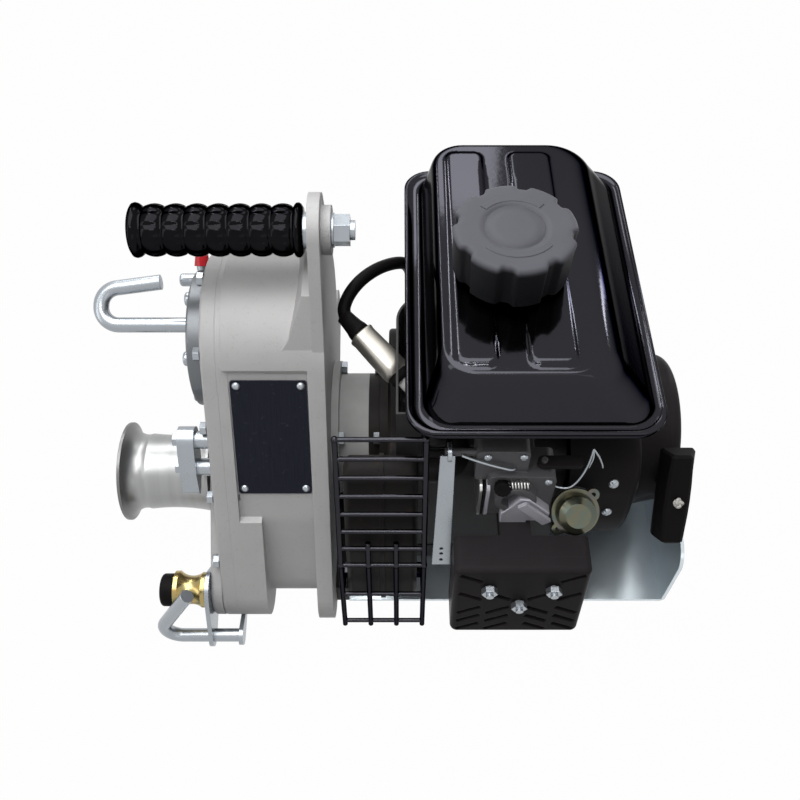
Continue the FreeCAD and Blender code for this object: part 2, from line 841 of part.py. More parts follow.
def make_cluster(gear_teeth, gear_module, gear_stage, gear_mate, pinion_teeth, pinion_module, pinion_stage,
                 pinion_mate):
    gear = spur_gear(gear_teeth, gear_module, gear_stage[0], gear_stage[1], idler,
                     angle_to(idler, gear_mate), False)
    pinion = spur_gear(pinion_teeth, pinion_module, pinion_stage[0], gear_stage[0], idler,
                       angle_to(idler, pinion_mate), True)
    bore = rod(pinion_stage[0] - 1, gear_stage[1] + 1, idler, axle_radius + running_fit)
    return gear.fuse(pinion).removeSplitter().cut(bore)


def make_first_idler():
    return make_cluster(first_teeth, first_module, stages[0], crank,
                        middle_pinion_teeth, middle_module, stages[1], layshaft_axis)


def make_second_idler():
    return make_cluster(middle_gear_teeth, middle_module, stages[2], layshaft_axis,
                        slow_pinion_teeth, slow_module, stages[3], drum_axis)


def make_idler_axle():
    return rod(parting - 7.5, plate_left + small_width - 0.5, idler, axle_radius)


def make_layshaft():
    pinion = spur_gear(middle_pinion_teeth, middle_module, stages[2][0], stages[2][1], layshaft_axis,
                       angle_to(layshaft_axis, idler), True)
    shaft = rod(parting - small_width + 0.5, plate_left + small_width - 0.5, layshaft_axis, small_bore)
    return pinion.fuse(shaft).removeSplitter()


def make_layshaft_gear():
    gear = spur_gear(middle_gear_teeth, middle_module, stages[1][0], stages[1][1], layshaft_axis,
                     angle_to(layshaft_axis, idler), False)
    cuts = [rod(stages[1][0] - 1, stages[1][1] + 1, layshaft_axis, small_bore + fit)]
    for k in range(5):
        cuts.append(rod(stages[1][0] - 1, stages[1][1] + 1, polar(layshaft_axis, 20, 72 * k), 5.5))
    return gear.cut(cuts)


def make_input_pinion():
    pinion = spur_gear(input_teeth, first_module, stages[0][0], stages[0][1], crank, angle_to(crank, idler),
                       True)
    shaft = rod(stages[0][1], clutch_web_right, crank, small_bore)
    return pinion.fuse(shaft).removeSplitter()


def make_clutch_drum():
    web = tube(clutch_web_left, clutch_web_right, crank, clutch_drum_radius, small_bore + fit)
    rim = tube(clutch_web_right, clutch_mouth, crank, clutch_drum_radius,
               clutch_drum_radius - clutch_drum_wall)
    return join([web, rim])


def make_bearings():
    rings = []
    for axis, left in ((layshaft_axis, parting - small_width), (layshaft_axis, plate_left)):
        rings.append(tube(left, left + small_width, axis, small_outer, small_bore + running_fit))
    rings.append(tube(boss_right - small_width, boss_right, crank, small_outer, small_bore + running_fit))
    rings.append(tube(parting - large_width, parting, drum_axis, large_outer, large_bore + running_fit))
    rings.append(tube(plate_left, plate_left + large_width, drum_axis, small_outer,
                      large_bore + running_fit))
    for left in (crankcase_left - 3, crankcase_right - 12):
        rings.append(tube(left, left + 11, crank, large_outer, crank_radius + running_fit))
    return Part.makeCompound(rings)


def make_clutch_housing():
    outer = rod(case_right, engine_left, crank, clutch_housing_radius)
    left_flange = rod(case_right, case_right + 5, crank, clutch_housing_radius + 9)
    right_flange = rod(engine_left - 6, engine_left, crank, clutch_housing_radius + 9)
    shape = join([outer, left_flange, right_flange])
    cuts = [rod(case_right - 1, engine_left + 1, crank, clutch_housing_radius - clutch_housing_wall)]
    for place in flange_bolts:
        cuts.append(rod(engine_left - 7, engine_left + 1, place, 2.5 + fit))
        cuts.append(rod(case_right - 1, case_right + 6, place, 2.5 + fit))
    return shape.cut(cuts)


def make_flange_bolts():
    bolts = []
    for place in flange_bolts:
        bolts.append(hex_bolt(V(case_right + 5, *place), V(1, 0, 0), 2.5, 5, 8, 4))
        bolts.append(hex_bolt(V(engine_left - 6, *place), V(-1, 0, 0), 2.5, 11, 8, 4))
    return Part.makeCompound(bolts)


def make_clutch_hub():
    core = tube(hub_left, hub_right, crank, 14, crank_radius - 2 + fit)
    keys = block(hub_left, hub_right, crank[0] - 4, crank[0] + 4, crank[1] - 20, crank[1] + 20)
    return join([core, keys]).cut(rod(hub_left - 1, hub_right + 1, crank, crank_radius - 2 + fit))


def make_shoe(side):
    ring = tube(hub_left + side_play, hub_right - side_play, crank, shoe_radius, 15)
    half = block(hub_left, hub_right, crank[0] - 60, crank[0] + 60, crank[1] + 5, crank[1] + 60)
    slot = block(hub_left - 1, hub_right + 1, crank[0] - 4.3, crank[0] + 4.3, crank[1], crank[1] + 21.5)
    shape = ring.common(half).cut(slot)
    if side < 0:
        shape.rotate(V(0, *crank), ALONG_X, 180)
    return shape


def make_crankshaft():
    pin_axis = (crank[0], crank[1] + crank_throw)
    middle = (crankcase_left + crankcase_right) / 2 - 4
    parts = [rod(hub_left - 1, crankcase_left + 5, crank, crank_radius - 2),
             rod(engine_left - 2, middle - 12, crank, crank_radius),
             rod(middle + 12, fan_left + 22, crank, crank_radius),
             rod(fan_left + 20, fan_right - 6, crank, crank_radius - 3)]
    for left in (middle - 24, middle + 12):
        web = rod(left, left + 12, crank, crank_web_radius)
        trim = block(left, left + 12, -80, 80, crank[1] + 12, crank[1] + 80)
        parts.append(web.cut(trim).fuse(hull([(crank, 16), (pin_axis, 13)], left, left + 12)))
    parts.append(rod(middle - 13, middle + 13, pin_axis, 10))
    return join(parts)


def make_flywheel():
    left = fan_left + 4
    disc = rod(left, left + 16, crank, flywheel_radius)
    dish = tube(left - 1, left + 9, crank, flywheel_radius - 8, 22)
    parts = [disc.cut(dish)]
    for k in range(16):
        blade = block(left + 15, left + 27, -1.5, 1.5, 34, flywheel_radius - 2)
        blade.rotate(V(0, 0, 0), ALONG_X, 22.5 * k)
        parts.append(moved(blade, crank))
    return join(parts).cut(rod(left - 2, left + 30, crank, crank_radius + fit))


def make_crankcase_cover():
    plate = soft_block(engine_left, crankcase_left, crankcase_front, crankcase_back, crankcase_bottom + 6,
                       crankcase_top, ALONG_X, 22)
    plate = plate.makeFillet(2.5, edges_at(plate, 0, engine_left))
    boss = rod(crankcase_left, crankcase_left + 9, crank, large_outer + 6)
    cuts = [rod(engine_left - 1, crankcase_left + 10, crank, crank_radius + 1)]
    cuts.append(rod(crankcase_left - 3, crankcase_left + 10, crank, large_outer + fit))
    for place in flange_bolts:
        cuts.append(rod(engine_left - 1, engine_left + 5.5, place, 2.5 + fit))
    return join([plate, boss]).cut(cuts)


def tilted(shape):
    copy = shape.copy()
    copy.rotate(V(0, 0, 0), ALONG_X, cylinder_lean)
    return moved(copy, crank)


def fin_stack(start, end):
    plates = []
    level = start
    while level + fin_thickness <= end + 0.01:
        plates.append(soft_block(cylinder_x - cylinder_half, cylinder_x + cylinder_half, -cylinder_half,
                                 cylinder_half,
                                 level, level + fin_thickness, ALONG_Z, 6))
        level += fin_pitch
    return plates


def make_crankcase():
    body = soft_block(crankcase_left, crankcase_right, crankcase_front, crankcase_back, crankcase_bottom,
                      crankcase_top, ALONG_X, 20)
    feet = [block(crankcase_left + 4, crankcase_right - 4, y0, y0 + 24, sheet, crankcase_bottom + 8)
            for y0 in (crankcase_front + 2, crankcase_back - 26)]
    body = join([body] + feet + barrel_shapes())
    room = rod(crankcase_left - 1, crankcase_right - 14, crank, crank_web_radius + 5)
    bore = tilted(Part.makeCylinder(26, barrel_end + 2, V(cylinder_x, 0, 0), ALONG_Z))
    cuts = [room, bore, rod(crankcase_right - 12, crankcase_right - 1, crank, large_outer + fit)]
    cuts.append(rod(crankcase_right - 15, crankcase_right + 1, crank, crank_radius + 1))
    for place in base_bolt_places:
        cuts.append(Part.makeCylinder(3 + fit, 12, V(place[0], place[1], sheet - 1), ALONG_Z))
    for place in flange_bolts:
        cuts.append(rod(crankcase_left - 1, crankcase_left + 1, place, 2.5 + fit))
    return body.cut(cuts)


def make_head():
    core = soft_block(cylinder_x - cylinder_half + 4, cylinder_x + cylinder_half - 4, -cylinder_half + 4,
                      cylinder_half - 4, barrel_end, barrel_end + 8, ALONG_Z, 6)
    parts = [core]
    x = cylinder_x - cylinder_half + 4
    while x + fin_thickness < cylinder_x + cylinder_half - 4:
        parts.append(block(x, x + fin_thickness, -cylinder_half + 6, cylinder_half - 6, barrel_end + 7,
                           head_end))
        x += fin_pitch
    parts.append(Part.makeCylinder(10, head_end - barrel_end - 1, V(cylinder_x, 0, barrel_end + 1),
                                   ALONG_Z))
    head = tilted(join(parts))
    boss = Part.makeCylinder(9, 16, plug_seat - plug_way * 16, plug_way)
    hole = Part.makeCylinder(6 + fit, 15, plug_seat - plug_way * 14, plug_way)
    room = Part.makeCylinder(11, 30, plug_seat, plug_way)
    return head.fuse(boss).removeSplitter().cut([hole, room])


def make_spark_plug():
    shape = hexagon(0, 9, 17).fuse([rod(-13, 0, (0, 0), 6), rod(9, 34, (0, 0), 5)])
    return placed(shape.removeSplitter(), plug_seat, plug_way)


def make_plug_cap():
    end = plug_cap_start + plug_cap_length
    profile = [(plug_cap_start, 0), (plug_cap_start, 7.5), (plug_cap_start + 3, 8.6), (end - 8, 8.6),
               (end, 6), (end, 0)]
    shape = turned(profile, (0, 0)).cut(rod(plug_cap_start - 1, 34.5, (0, 0), 5 + fit))
    return placed(shape, plug_seat, plug_way)


def make_plug_lead():
    start = plug_seat + plug_way * (plug_cap_start + plug_cap_length)
    points = [start, start + plug_way * 8, V(-84.4, 26, seam - 12), V(-76.8, 37.4, seam - 9),
              V(-66, 50.3, seam - 11), V(-54.8, 63.7, seam - 19), V(-45.5, 76, seam - 31),
              V(-41, 78, lead_run + 15), V(-33, 66, lead_run + 3), V(-10, 45, lead_run), V(6, 38, lead_run),
              V(coil_left, 38, lead_run)]
    return bent_rod(points, None, lead_radius).cut(make_ignition_coil())


def make_ignition_coil():
    top = crankcase_top + (tank_floor - crankcase_top) * coil_share
    return soft_block(coil_left, coil_left + coil_length, coil_front, coil_back, crankcase_top, top,
                      ALONG_X, 4)


def barrel_shapes():
    core = Part.makeCylinder(31, barrel_end - barrel_start, V(cylinder_x, 0, barrel_start), ALONG_Z)
    return [tilted(core)] + [tilted(fin) for fin in fin_stack(barrel_start + 13, barrel_end)]


def make_cylinder_shroud():
    right = shroud_left + shroud_sheet
    height = shroud_top - crankcase_top
    side = block(shroud_left, right, crankcase_front, shroud_straight_end, crankcase_top, shroud_top)
    lip = block(shroud_left, shroud_left + shroud_lip, crankcase_front, crankcase_front + shroud_sheet,
                crankcase_top, shroud_top)
    centre = V(shroud_left + shroud_turn, shroud_straight_end, crankcase_top)
    corner = Part.makeCylinder(shroud_turn, height, centre, ALONG_Z)
    corner = corner.cut(Part.makeCylinder(shroud_turn - shroud_sheet, height, centre, ALONG_Z))
    corner = corner.common(block(shroud_left, shroud_left + shroud_wrap, shroud_straight_end,
                                 shroud_straight_end + shroud_turn, crankcase_top, shroud_top))
    way = Part.makeCylinder(12, 60, plug_seat - plug_way * 5, plug_way)
    return join([side, lip, corner]).cut(way)


def strut(start, end, radius):
    return Part.makeCylinder(radius, (end - start).Length, start, end - start)


def make_muffler_guard():
    left, right = cage_left + cage_bar, cage_right - cage_bar
    bars = []
    for k in range(cage_upper_bars):
        y, z = between(guard_high, guard_bend, k / (cage_upper_bars - 1))
        bars.append(rod(left, right, (y, z), cage_bar))
    for k in (1, 2):
        y, z = between(guard_bend, guard_low, k / 2)
        bars.append(rod(left, right, (y, z), cage_bar))
    for x in (left, right):
        bars.append(strut(V(x, *guard_high), V(x, *guard_bend), cage_bar + 0.3))
        bars.append(Part.makeSphere(cage_bar + 0.7, V(x, *guard_high)))
    for k in range(cage_lower_bars):
        x = left + (right - left) * k / (cage_lower_bars - 1)
        bars.append(strut(V(x, *guard_bend), V(x, *between(guard_bend, guard_low, 1.07)), cage_bar + 0.2))
        bars.append(Part.makeSphere(cage_bar + 0.7, V(x, *guard_bend)))
        if 0 < k < cage_lower_bars - 1:
            bars.append(strut(V(x, *between(guard_high, guard_bend, 0.81)), V(x, *guard_bend),
                              cage_bar + 0.2))
    for x, inner in ((left, muffler_left), (right, muffler_right)):
        back = V(x, muffler_low[0], muffler_low[1])
        bars.append(strut(V(x, *between(guard_bend, guard_low, 0.5)), back, cage_bar))
        x0, x1 = min(x, inner), max(x, inner)
        bars.append(block(x0, x1, back.y - 4, back.y + 4, back.z - 4, back.z + 4))
    return join(bars)


def make_muffler():
    can = hull([(muffler_high, 12), (muffler_mid, 19), (muffler_low, 18)], muffler_left, muffler_right)
    can = can.makeFillet(5, edges_at(can, 0, muffler_left) + edges_at(can, 0, muffler_right))
    seam_ring = hull([(muffler_high, 13.2), (muffler_mid, 20.2), (muffler_low, 19.2)], -63, -60)
    bracket = block(crankcase_left + 1, muffler_right - 2, crankcase_front - 26, crankcase_front,
                    crank_height - 30, crank_height + 4)
    pipe = bent_rod([V(muffler_right - 6, muffler_high[0] + 4, muffler_high[1] - 2),
                     V(cylinder_x - 14, muffler_high[0] + 4, muffler_high[1] - 2),
                     V(cylinder_x - 14, -42, muffler_high[1] - 2)], 14, 8)
    return join([can, seam_ring, bracket, pipe.cut(barrel_shapes() + [make_head()])])


def make_carburettor():
    body = soft_block(carb_left + 8, carb_left + 50, carb_front + 2, carb_back, carb_floor, carb_top - 14,
                      V(0, 1, 0), 5)
    top = soft_block(carb_left, carb_left + 32, carb_front + 6, carb_back, carb_top - 24, carb_top + 8,
                     V(0, 1, 0), 4)
    throat = Part.makeCylinder(13, 8, V(carb_left + 26, carb_front + 4, carb_floor + 26), V(0, -1, 0))
    throat = throat.cut(Part.makeCylinder(9, 20, V(carb_left + 26, carb_front + 5, carb_floor + 26),
                                          V(0, -1, 0)))
    spacer = block(carb_left + 16, carb_left + 40, carb_back, -44, crankcase_top + 2, crankcase_top + 14)
    seat = Part.makeCylinder(bowl_radius + 1.5, 5, bowl_base - bowl_way * 5, bowl_way)
    arm = rod(carb_left + 40, carb_left + 58, (bowl_base.y + 4, bowl_base.z - 2), 2.2)
    pin = rod(cleaner_left - 7, carb_left, throttle_pivot, 2.5)
    choke_pin = Part.makeCylinder(2, 8, V(choke_place.x, choke_place.y, choke_place.z - 8), ALONG_Z)
    solids = [body, top, throat, spacer.cut(barrel_shapes()), seat, arm, pin, choke_pin]
    return join(solids)


def make_float_bowl():
    profile = [(0, 0), (0, bowl_radius + 1.5), (2.5, bowl_radius + 1.5), (2.5, bowl_radius - 1),
               (bowl_height - 3, bowl_radius - 2), (bowl_height, bowl_radius - 6), (bowl_height, 0)]
    lugs = [tube(0, 2.5, polar((0, 0), bowl_radius + 2, a), 4, 1.5) for a in (0, 180)]
    return placed(join([turned(profile, (0, 0))] + lugs), bowl_base, bowl_way)


def make_choke_lever():
    z = choke_place.z - 5
    arm = soft_block(choke_place.x - 4, choke_place.x + 24, choke_place.y - 4, choke_place.y + 4, z, z + 3,
                     ALONG_Z, 3.5)
    return arm.cut(Part.makeCylinder(2 + running_fit, 9, V(choke_place.x, choke_place.y, z - 1), ALONG_Z))


def make_throttle_lever():
    right = cleaner_left - 1
    low = throttle_foot
    ear = rod(right - 4.5, right - 2, throttle_pivot, 6)
    corners = [V(right - 9, *throttle_pivot), V(right, *throttle_pivot), V(right, *low),
               V(right - 12, *low)]
    strap = Part.Face(Part.makePolygon(corners + [corners[0]]))
    across = (corners[2] - corners[1]).cross(ALONG_X).normalize()
    if across.y > 0:
        across = -across
    strap = strap.extrude(across * strap_thickness)
    strap.translate(across * 2)
    link = hull([(throttle_pivot, 4), (between(throttle_pivot, low, 0.16), 4)], right - 4.5, right - 2)
    lever = join([ear, link, strap])
    cuts = [rod(right - 12, carb_left, throttle_pivot, 2.5 + running_fit)]
    for share in (0.84, 0.89, 0.95):
        y, z = between(throttle_pivot, low, share)
        cuts.append(Part.makeCylinder(1.2, 12, V(right - 6, y, z) - across * 6, across))
    return lever.cut(cuts)


def cleaner_slice(front, back_top, back_floor, inset):
    high, low = cleaner_top - inset, cleaner_floor + inset
    corners = [(front, high), (front - cleaner_rake, low), (back_floor, low), (back_top, high)]
    points = [V(cleaner_left + inset, y, z) for y, z in corners]
    face = Part.Face(Part.makePolygon(points + [points[0]]))
    return face.extrude(V(cleaner_right - cleaner_left - 2 * inset, 0, 0))


def make_cleaner_case():
    front = cleaner_front + cleaner_split
    shell = cleaner_slice(front, cleaner_back, cleaner_back - 6, 0)
    shell = shell.makeFillet(cleaner_corner, straight_along(shell, V(0, 1, 0)))
    room = cleaner_slice(front - 2, cleaner_back - cleaner_wall, cleaner_back - 6 - cleaner_wall,
                         cleaner_wall)
    neck = block(carb_left + 18, carb_left + 38, cleaner_back - 1, carb_front + 14, carb_floor - 12,
                 carb_floor)
    shape = shell.cut(room).fuse(neck).removeSplitter()
    return shape.cut(stud_holes())


def stud_holes():
    return [Part.makeCylinder(stud_radius + fit, 20, V(p.x, cleaner_back - 12, p.z),
                              V(0, 1, 0)) for p in stud_places]


def make_cleaner_cover():
    shell = cleaner_slice(cleaner_front, cleaner_front + cleaner_split,
                          cleaner_front + cleaner_split - cleaner_rake, 0)
    corner_edges = []
    for item in shell.Edges:
        tangent = item.tangentAt(item.FirstParameter)
        if abs(tangent.y) > 0.9:
            corner_edges.append(item)
    shell = shell.makeFillet(cleaner_corner, corner_edges)
    brow = []
    for item in shell.Edges:
        box = item.BoundBox
        if box.YMax < cleaner_front + 0.01 and box.YMin < cleaner_front:
            brow.append(item)
    shell = shell.makeFillet(cleaner_brow, brow)
    room = cleaner_slice(cleaner_front + 3, cleaner_front + cleaner_split + 1,
                         cleaner_front + cleaner_split + 1 - cleaner_rake, cleaner_wall)
    cuts = [room]
    centre_x = (cleaner_left + cleaner_right) / 2
    centre_z = (cleaner_top + cleaner_floor) / 2
    for side in (-1, 1):
        for half in (-1, 1):
            for row in range(vent_rows):
                for reach in vent_reaches:
                    place = V(centre_x + side * reach, 0, centre_z + half * (vent_start + vent_pitch * row))
                    if min(place.distanceToPoint(stud) for stud in stud_places) < vent_clear:
                        continue
                    slot = block(-vent_length / 2, vent_length / 2, -6, 6, -vent_width / 2, vent_width / 2)
                    slot.rotate(V(0, 0, 0), V(0, 1, 0), -side * half * vent_lean)
                    slot.translate(place + V(0, cleaner_front - cleaner_rake / 2, 0))
                    cuts.append(slot)
    cuts += [Part.makeCylinder(stud_radius + fit, 60, V(p.x, cleaner_front - 30, p.z),
                               V(0, 1, 0)) for p in stud_places]
    return shell.cut(cuts)


def make_filter():
    gap = 0.5
    front = cleaner_front + cleaner_split + 0.5
    shape = cleaner_slice(front, cleaner_back - cleaner_wall - gap, cleaner_back - 6 - cleaner_wall - gap,
                          cleaner_wall + gap)
    return shape.cut([Part.makeCylinder(4, 60, V(p.x, cleaner_front - 30, p.z),
                                        V(0, 1, 0)) for p in stud_places])


def make_cleaner_nuts():
    pieces = []
    for p in stud_places:
        share = (cleaner_top - p.z) / (cleaner_top - cleaner_floor)
        face = cleaner_front - cleaner_rake * share
        stem = Part.makeCylinder(stud_radius, cleaner_back - 1 - (face - 7), V(p.x, face - 7, p.z),
                                 V(0, 1, 0))
        nut = placed(hexagon(0, 4, 9), V(p.x, face - 1.0, p.z), V(0, -1, 0))
        nut = nut.cut(cleaner_slice(cleaner_front, cleaner_front + 8, cleaner_front + 8, 0))
        pieces.append(join([stem, nut]))
    return Part.makeCompound(pieces)


def make_fan_housing():
    outline = [(crank, fan_radius), fan_front]
    shell = hull(outline, fan_left, fan_right)
    shell = shell.makeFillet(6, edges_at(shell, 0, fan_right))
    room = hull(grown(outline, -fan_wall), fan_left - 1, fan_right - fan_wall)
    return shell.cut([room, rod(fan_right - 5, fan_right + 1, crank, recoil_mouth)])


def make_recoil_cover():
    profile = [(fan_right, 0), (fan_right, recoil_radius), (fan_right + 6, recoil_radius),
               (recoil_right - 9, recoil_radius - 4), (recoil_right - 2.6, recoil_radius - 6.6,
                                                       recoil_right, recoil_radius - 13),
               (recoil_right, 0)]
    inner = [(fan_right - 1, 0), (fan_right - 1, recoil_radius - 3), (fan_right + 6, recoil_radius - 3),
             (recoil_right - 10, recoil_radius - 7), (recoil_right - 2.5, recoil_radius - 15),
             (recoil_right - 2.5, 0)]
    shell = turned(profile, crank).cut(turned(inner, crank))
    post = rod(pulley_left - 3, recoil_right - 1, crank, 7)
    spout = Part.makeCylinder(6.5, 16, starter_middle - pull_way * 26, pull_way)
    shape = join([shell, post, spout.cut(turned(inner, crank))])
    cuts = [Part.makeCylinder(rope_radius + 1, 40, starter_middle - pull_way * 45, pull_way)]
    for k in range(12):
        slot = hull([((0, 31), 2.2), ((0, 38), 2.2)], recoil_right - 12, recoil_right + 1)
        slot.rotate(V(0, 0, 0), ALONG_X, 30 * k + 15)
        cuts.append(moved(slot, crank))
    return shape.cut(cuts)


def make_recoil_pulley():
    bore = 7 + running_fit
    profile = [(pulley_left, bore), (pulley_left, pulley_radius + 5),
               (pulley_left + 1.5, pulley_radius + 5),
               (pulley_left + 3, pulley_radius), (pulley_right - 3, pulley_radius),
               (pulley_right - 1.5, pulley_radius + 5), (pulley_right, pulley_radius + 5),
               (pulley_right, bore)]
    return turned(profile, crank)


def make_starter_handle():
    half = starter_bar_length / 2
    bar = block(-starter_bar_width / 2, starter_bar_width / 2, -half, half, -9, 9)
    bar = bar.makeFillet(6, straight_along(bar, V(0, 1, 0)))
    bar = bar.makeFillet(3, edges_at(bar, 1, -half) + edges_at(bar, 1, half))
    bar.rotate(V(0, 0, 0), ALONG_X, 90 - starter_lean)
    bar.translate(starter_middle)
    return bar.cut(Part.makeCylinder(rope_radius + fit, 40, starter_middle - pull_way * 20, pull_way))


def make_starter_rope():
    stem = Part.makeCylinder(rope_radius, 39, starter_middle - pull_way * 30, pull_way)
    knot = Part.makeSphere(4.2, starter_middle + pull_way * 11.5)
    bar = block(-starter_bar_width / 2, starter_bar_width / 2, -40, 40, -9, 9)
    bar.rotate(V(0, 0, 0), ALONG_X, 90 - starter_lean)
    bar.translate(starter_middle)
    return join([stem, knot.cut(bar)])


def round_rect(x0, x1, y0, y1, z, radius):
    shape = block(x0, x1, y0, y1, z, z + 1)
    shape = shape.makeFillet(radius, straight_along(shape, ALONG_Z))
    for face in shape.Faces:
        if abs(face.CenterOfMass.z - z) < 0.001:
            return face.OuterWire


def tank_loft(inset, low):
    wires = []
    for rise, lean in tank_lean:
        left, right, front, back = [foot_inset + (top_inset - foot_inset) * lean + inset
                                    for foot_inset, top_inset in zip(tank_foot_insets, tank_top_insets)]
        z = low + (tank_top - inset - low) * rise
        wires.append(round_rect(tank_left + left, tank_right - right, tank_front + front, tank_back - back,
                                z,
                                tank_corner - inset))
    return Part.makeLoft(wires, True, True)


def seam_plate(low):
    shape = block(tank_left, tank_right, tank_front, tank_back, low, low + tank_seam_plate)
    return shape.makeFillet(20, straight_along(shape, ALONG_Z))


def make_tank_top():
    pads = []
    front_end = tank_front + tank_top_insets[2] + pad_front_inset
    back_end = tank_back - tank_top_insets[3] - pad_back_inset
    for x0, x1 in pad_spans:
        pad = soft_block(x0, x1, front_end, back_end, tank_top - 4, tank_top + pad_height, ALONG_Z,
                         pad_corner)
        pads.append(pad.makeFillet(2, edges_at(pad, 2, tank_top + pad_height)))
    neck = Part.makeCylinder(20, 16, V(cap_centre.x, cap_centre.y, tank_top - 1), ALONG_Z)
    shape = join([tank_loft(0, seam), seam_plate(seam)] + pads + [neck])
    room = tank_loft(tank_wall, seam - 1)
    return shape.cut([room, Part.makeCylinder(16.5, 40, V(cap_centre.x, cap_centre.y, tank_top - 10),
                                              ALONG_Z)])


def make_tank_bottom():
    def tray(inset, top):
        shallow = soft_block(tank_left + 11 + inset, tank_right - 10 - inset, tank_front + 7 + inset,
                             tank_back - 9 - inset, seam - tank_shallow + inset, top, ALONG_Z, 14 - inset)
        deep = soft_block(tank_left + 11 + inset, tank_right - 10 - inset, 18 + inset,
                          tank_back - 9 - inset,
                          tank_floor + inset, top, ALONG_Z, 14 - inset)
        return join([shallow, deep])
    posts = [block(x0, x0 + 8, 20, 36, crankcase_top, tank_floor + 1) for x0 in (-34, 50)]
    return join([tray(0, seam), seam_plate(seam - tank_seam_plate)] + posts).cut(tray(tank_wall, seam + 1))


def make_fuel_cap():
    cap = Part.makeCylinder(fuel_cap_radius, fuel_cap_height, V(cap_centre.x, cap_centre.y, cap_floor),
                            ALONG_Z)
    notches = []
    reach = fuel_cap_radius + cap_notch_radius - cap_notch_depth
    for k in range(cap_notches):
        turn = math.radians(360 * k / cap_notches - 11)
        at = V(cap_centre.x + reach * math.cos(turn), cap_centre.y + reach * math.sin(turn), cap_floor - 1)
        notches.append(Part.makeCylinder(cap_notch_radius, fuel_cap_height + 2, at, ALONG_Z))
    cap = cap.makeFillet(2.5, edges_at(cap, 2, cap_floor + fuel_cap_height))
    cap = cap.cut(notches)
    pocket = Part.makeCylinder(20 + running_fit + 0.3, fuel_cap_height - 5,
                               V(cap_centre.x, cap_centre.y, cap_floor - 1), ALONG_Z)
    groove = Part.makeCylinder(18.5, 3, V(cap_centre.x, cap_centre.y, cap_floor + fuel_cap_height - 0.8),
                               ALONG_Z)
    groove = groove.cut(Part.makeCylinder(17, 3, V(cap_centre.x, cap_centre.y,
                                                   cap_floor + fuel_cap_height - 0.8), ALONG_Z))
    return cap.cut([pocket, groove])


def countersunk(x, y, extra):
    cone = Part.makeCone(5.5 + extra, 3 + extra, sheet, V(x, y, 0), ALONG_Z)
    return cone.fuse(Part.makeCylinder(3 + extra, 9, V(x, y, sheet - 0.5), ALONG_Z)).removeSplitter()


def make_base_plate():
    floor = block(base_left, base_right, -base_half_depth, base_half_depth, 0, sheet)
    flange = block(base_right - sheet, base_right, -base_half_depth, base_half_depth, 0, base_flange_height)
    flange = flange.makeFillet(18, [e for e in straight_along(flange, ALONG_X) if e.CenterOfMass.z > sheet])
    shape = join([floor, flange])
    shape = shape.makeFillet(sheet + 2, [e for e in straight_along(shape, V(0, 1, 0))
                                         if e.CenterOfMass.x > base_right - 0.01 and e.CenterOfMass.z < 0.01])
    cuts = [countersunk(x, y, fit) for x, y in base_bolt_places]
    for x in (-base_hole_x, base_hole_x):
        for y in (-base_hole_y, base_hole_y):
            cuts.append(Part.makeCylinder(base_hole_radius, sheet * 3, V(x, y, -sheet), ALONG_Z))
    return shape.cut(cuts)


def make_base_bolts():
    return Part.makeCompound([countersunk(x, y, 0) for x, y in base_bolt_places])


def make_handle_rod():
    nut_seat = case_right + 6
    collar = rod(grip_right, ear_left, handle_axis, 11)
    return join([rod(grip_left + 6, nut_seat + 14, handle_axis, handle_rod_radius), collar])


def make_handle_nut():
    seat = case_right + 6
    washer = tube(seat, seat + 1.5, handle_axis, 10.5, handle_rod_radius + fit)
    nut = moved(hexagon(seat + 1.5, seat + 11, 17), handle_axis)
    return join([washer, nut]).cut(rod(seat - 1, seat + 12, handle_axis, handle_rod_radius + fit))


def make_grip():
    left_end, right_end = grip_left + 8, grip_right - 6
    pitch = (right_end - left_end) / grip_bulges
    profile = [(grip_left, 0), (grip_left, 14), (grip_left + 2, grip_radius + 0.7),
               (grip_left + 5, grip_radius + 0.7),
               (left_end, grip_valley)]
    for k in range(grip_bulges):
        x = left_end + pitch * k
        profile.append((x + pitch / 2, grip_radius, x + pitch, grip_valley))
    profile += [(right_end + 1.5, grip_radius), (grip_right - 1, grip_radius),
                (grip_right, grip_radius - 1.5), (grip_right, 0)]
    return turned(profile, handle_axis).cut(rod(grip_left + 6 - fit, grip_right + 1, handle_axis,
                                                handle_rod_radius + fit))


def on_front(shape):
    normal, high, low = front_frame(waist_circles)
    copy = shape.copy()
    copy.rotate(V(0, 0, 0), ALONG_X, math.degrees(math.atan2(normal[1], normal[0])) - 90)
    return moved(copy, between(high, low, plate_middle_share))


name_left = plate_left - plate_width - 0.7


def rivet_points():
    high = plate_length / 2 - 4
    return [(name_left + dx, dy) for dx in (4, plate_width - 4) for dy in (-high, high)]


def make_nameplate():
    return on_front(soft_block(name_left, name_left + plate_width, -plate_length / 2, plate_length / 2, 0,
                               0.8, ALONG_Z, 2))


def make_rivets():
    rivets = []
    for x, y in rivet_points():
        dome = Part.makeSphere(3.2, V(x, y, -0.9)).common(block(x - 4, x + 4, y - 4, y + 4, 0.8, 4))
        rivets.append(on_front(dome))
    return Part.makeCompound(rivets)


def make_handle_parts():
    return Part.makeCompound([make_handle_rod(), make_handle_nut()])


def make_engine_fasteners():
    groups = [make_flange_bolts(), make_base_bolts(), make_cleaner_nuts()]
    return Part.makeCompound([solid for group in groups for solid in group.Solids])


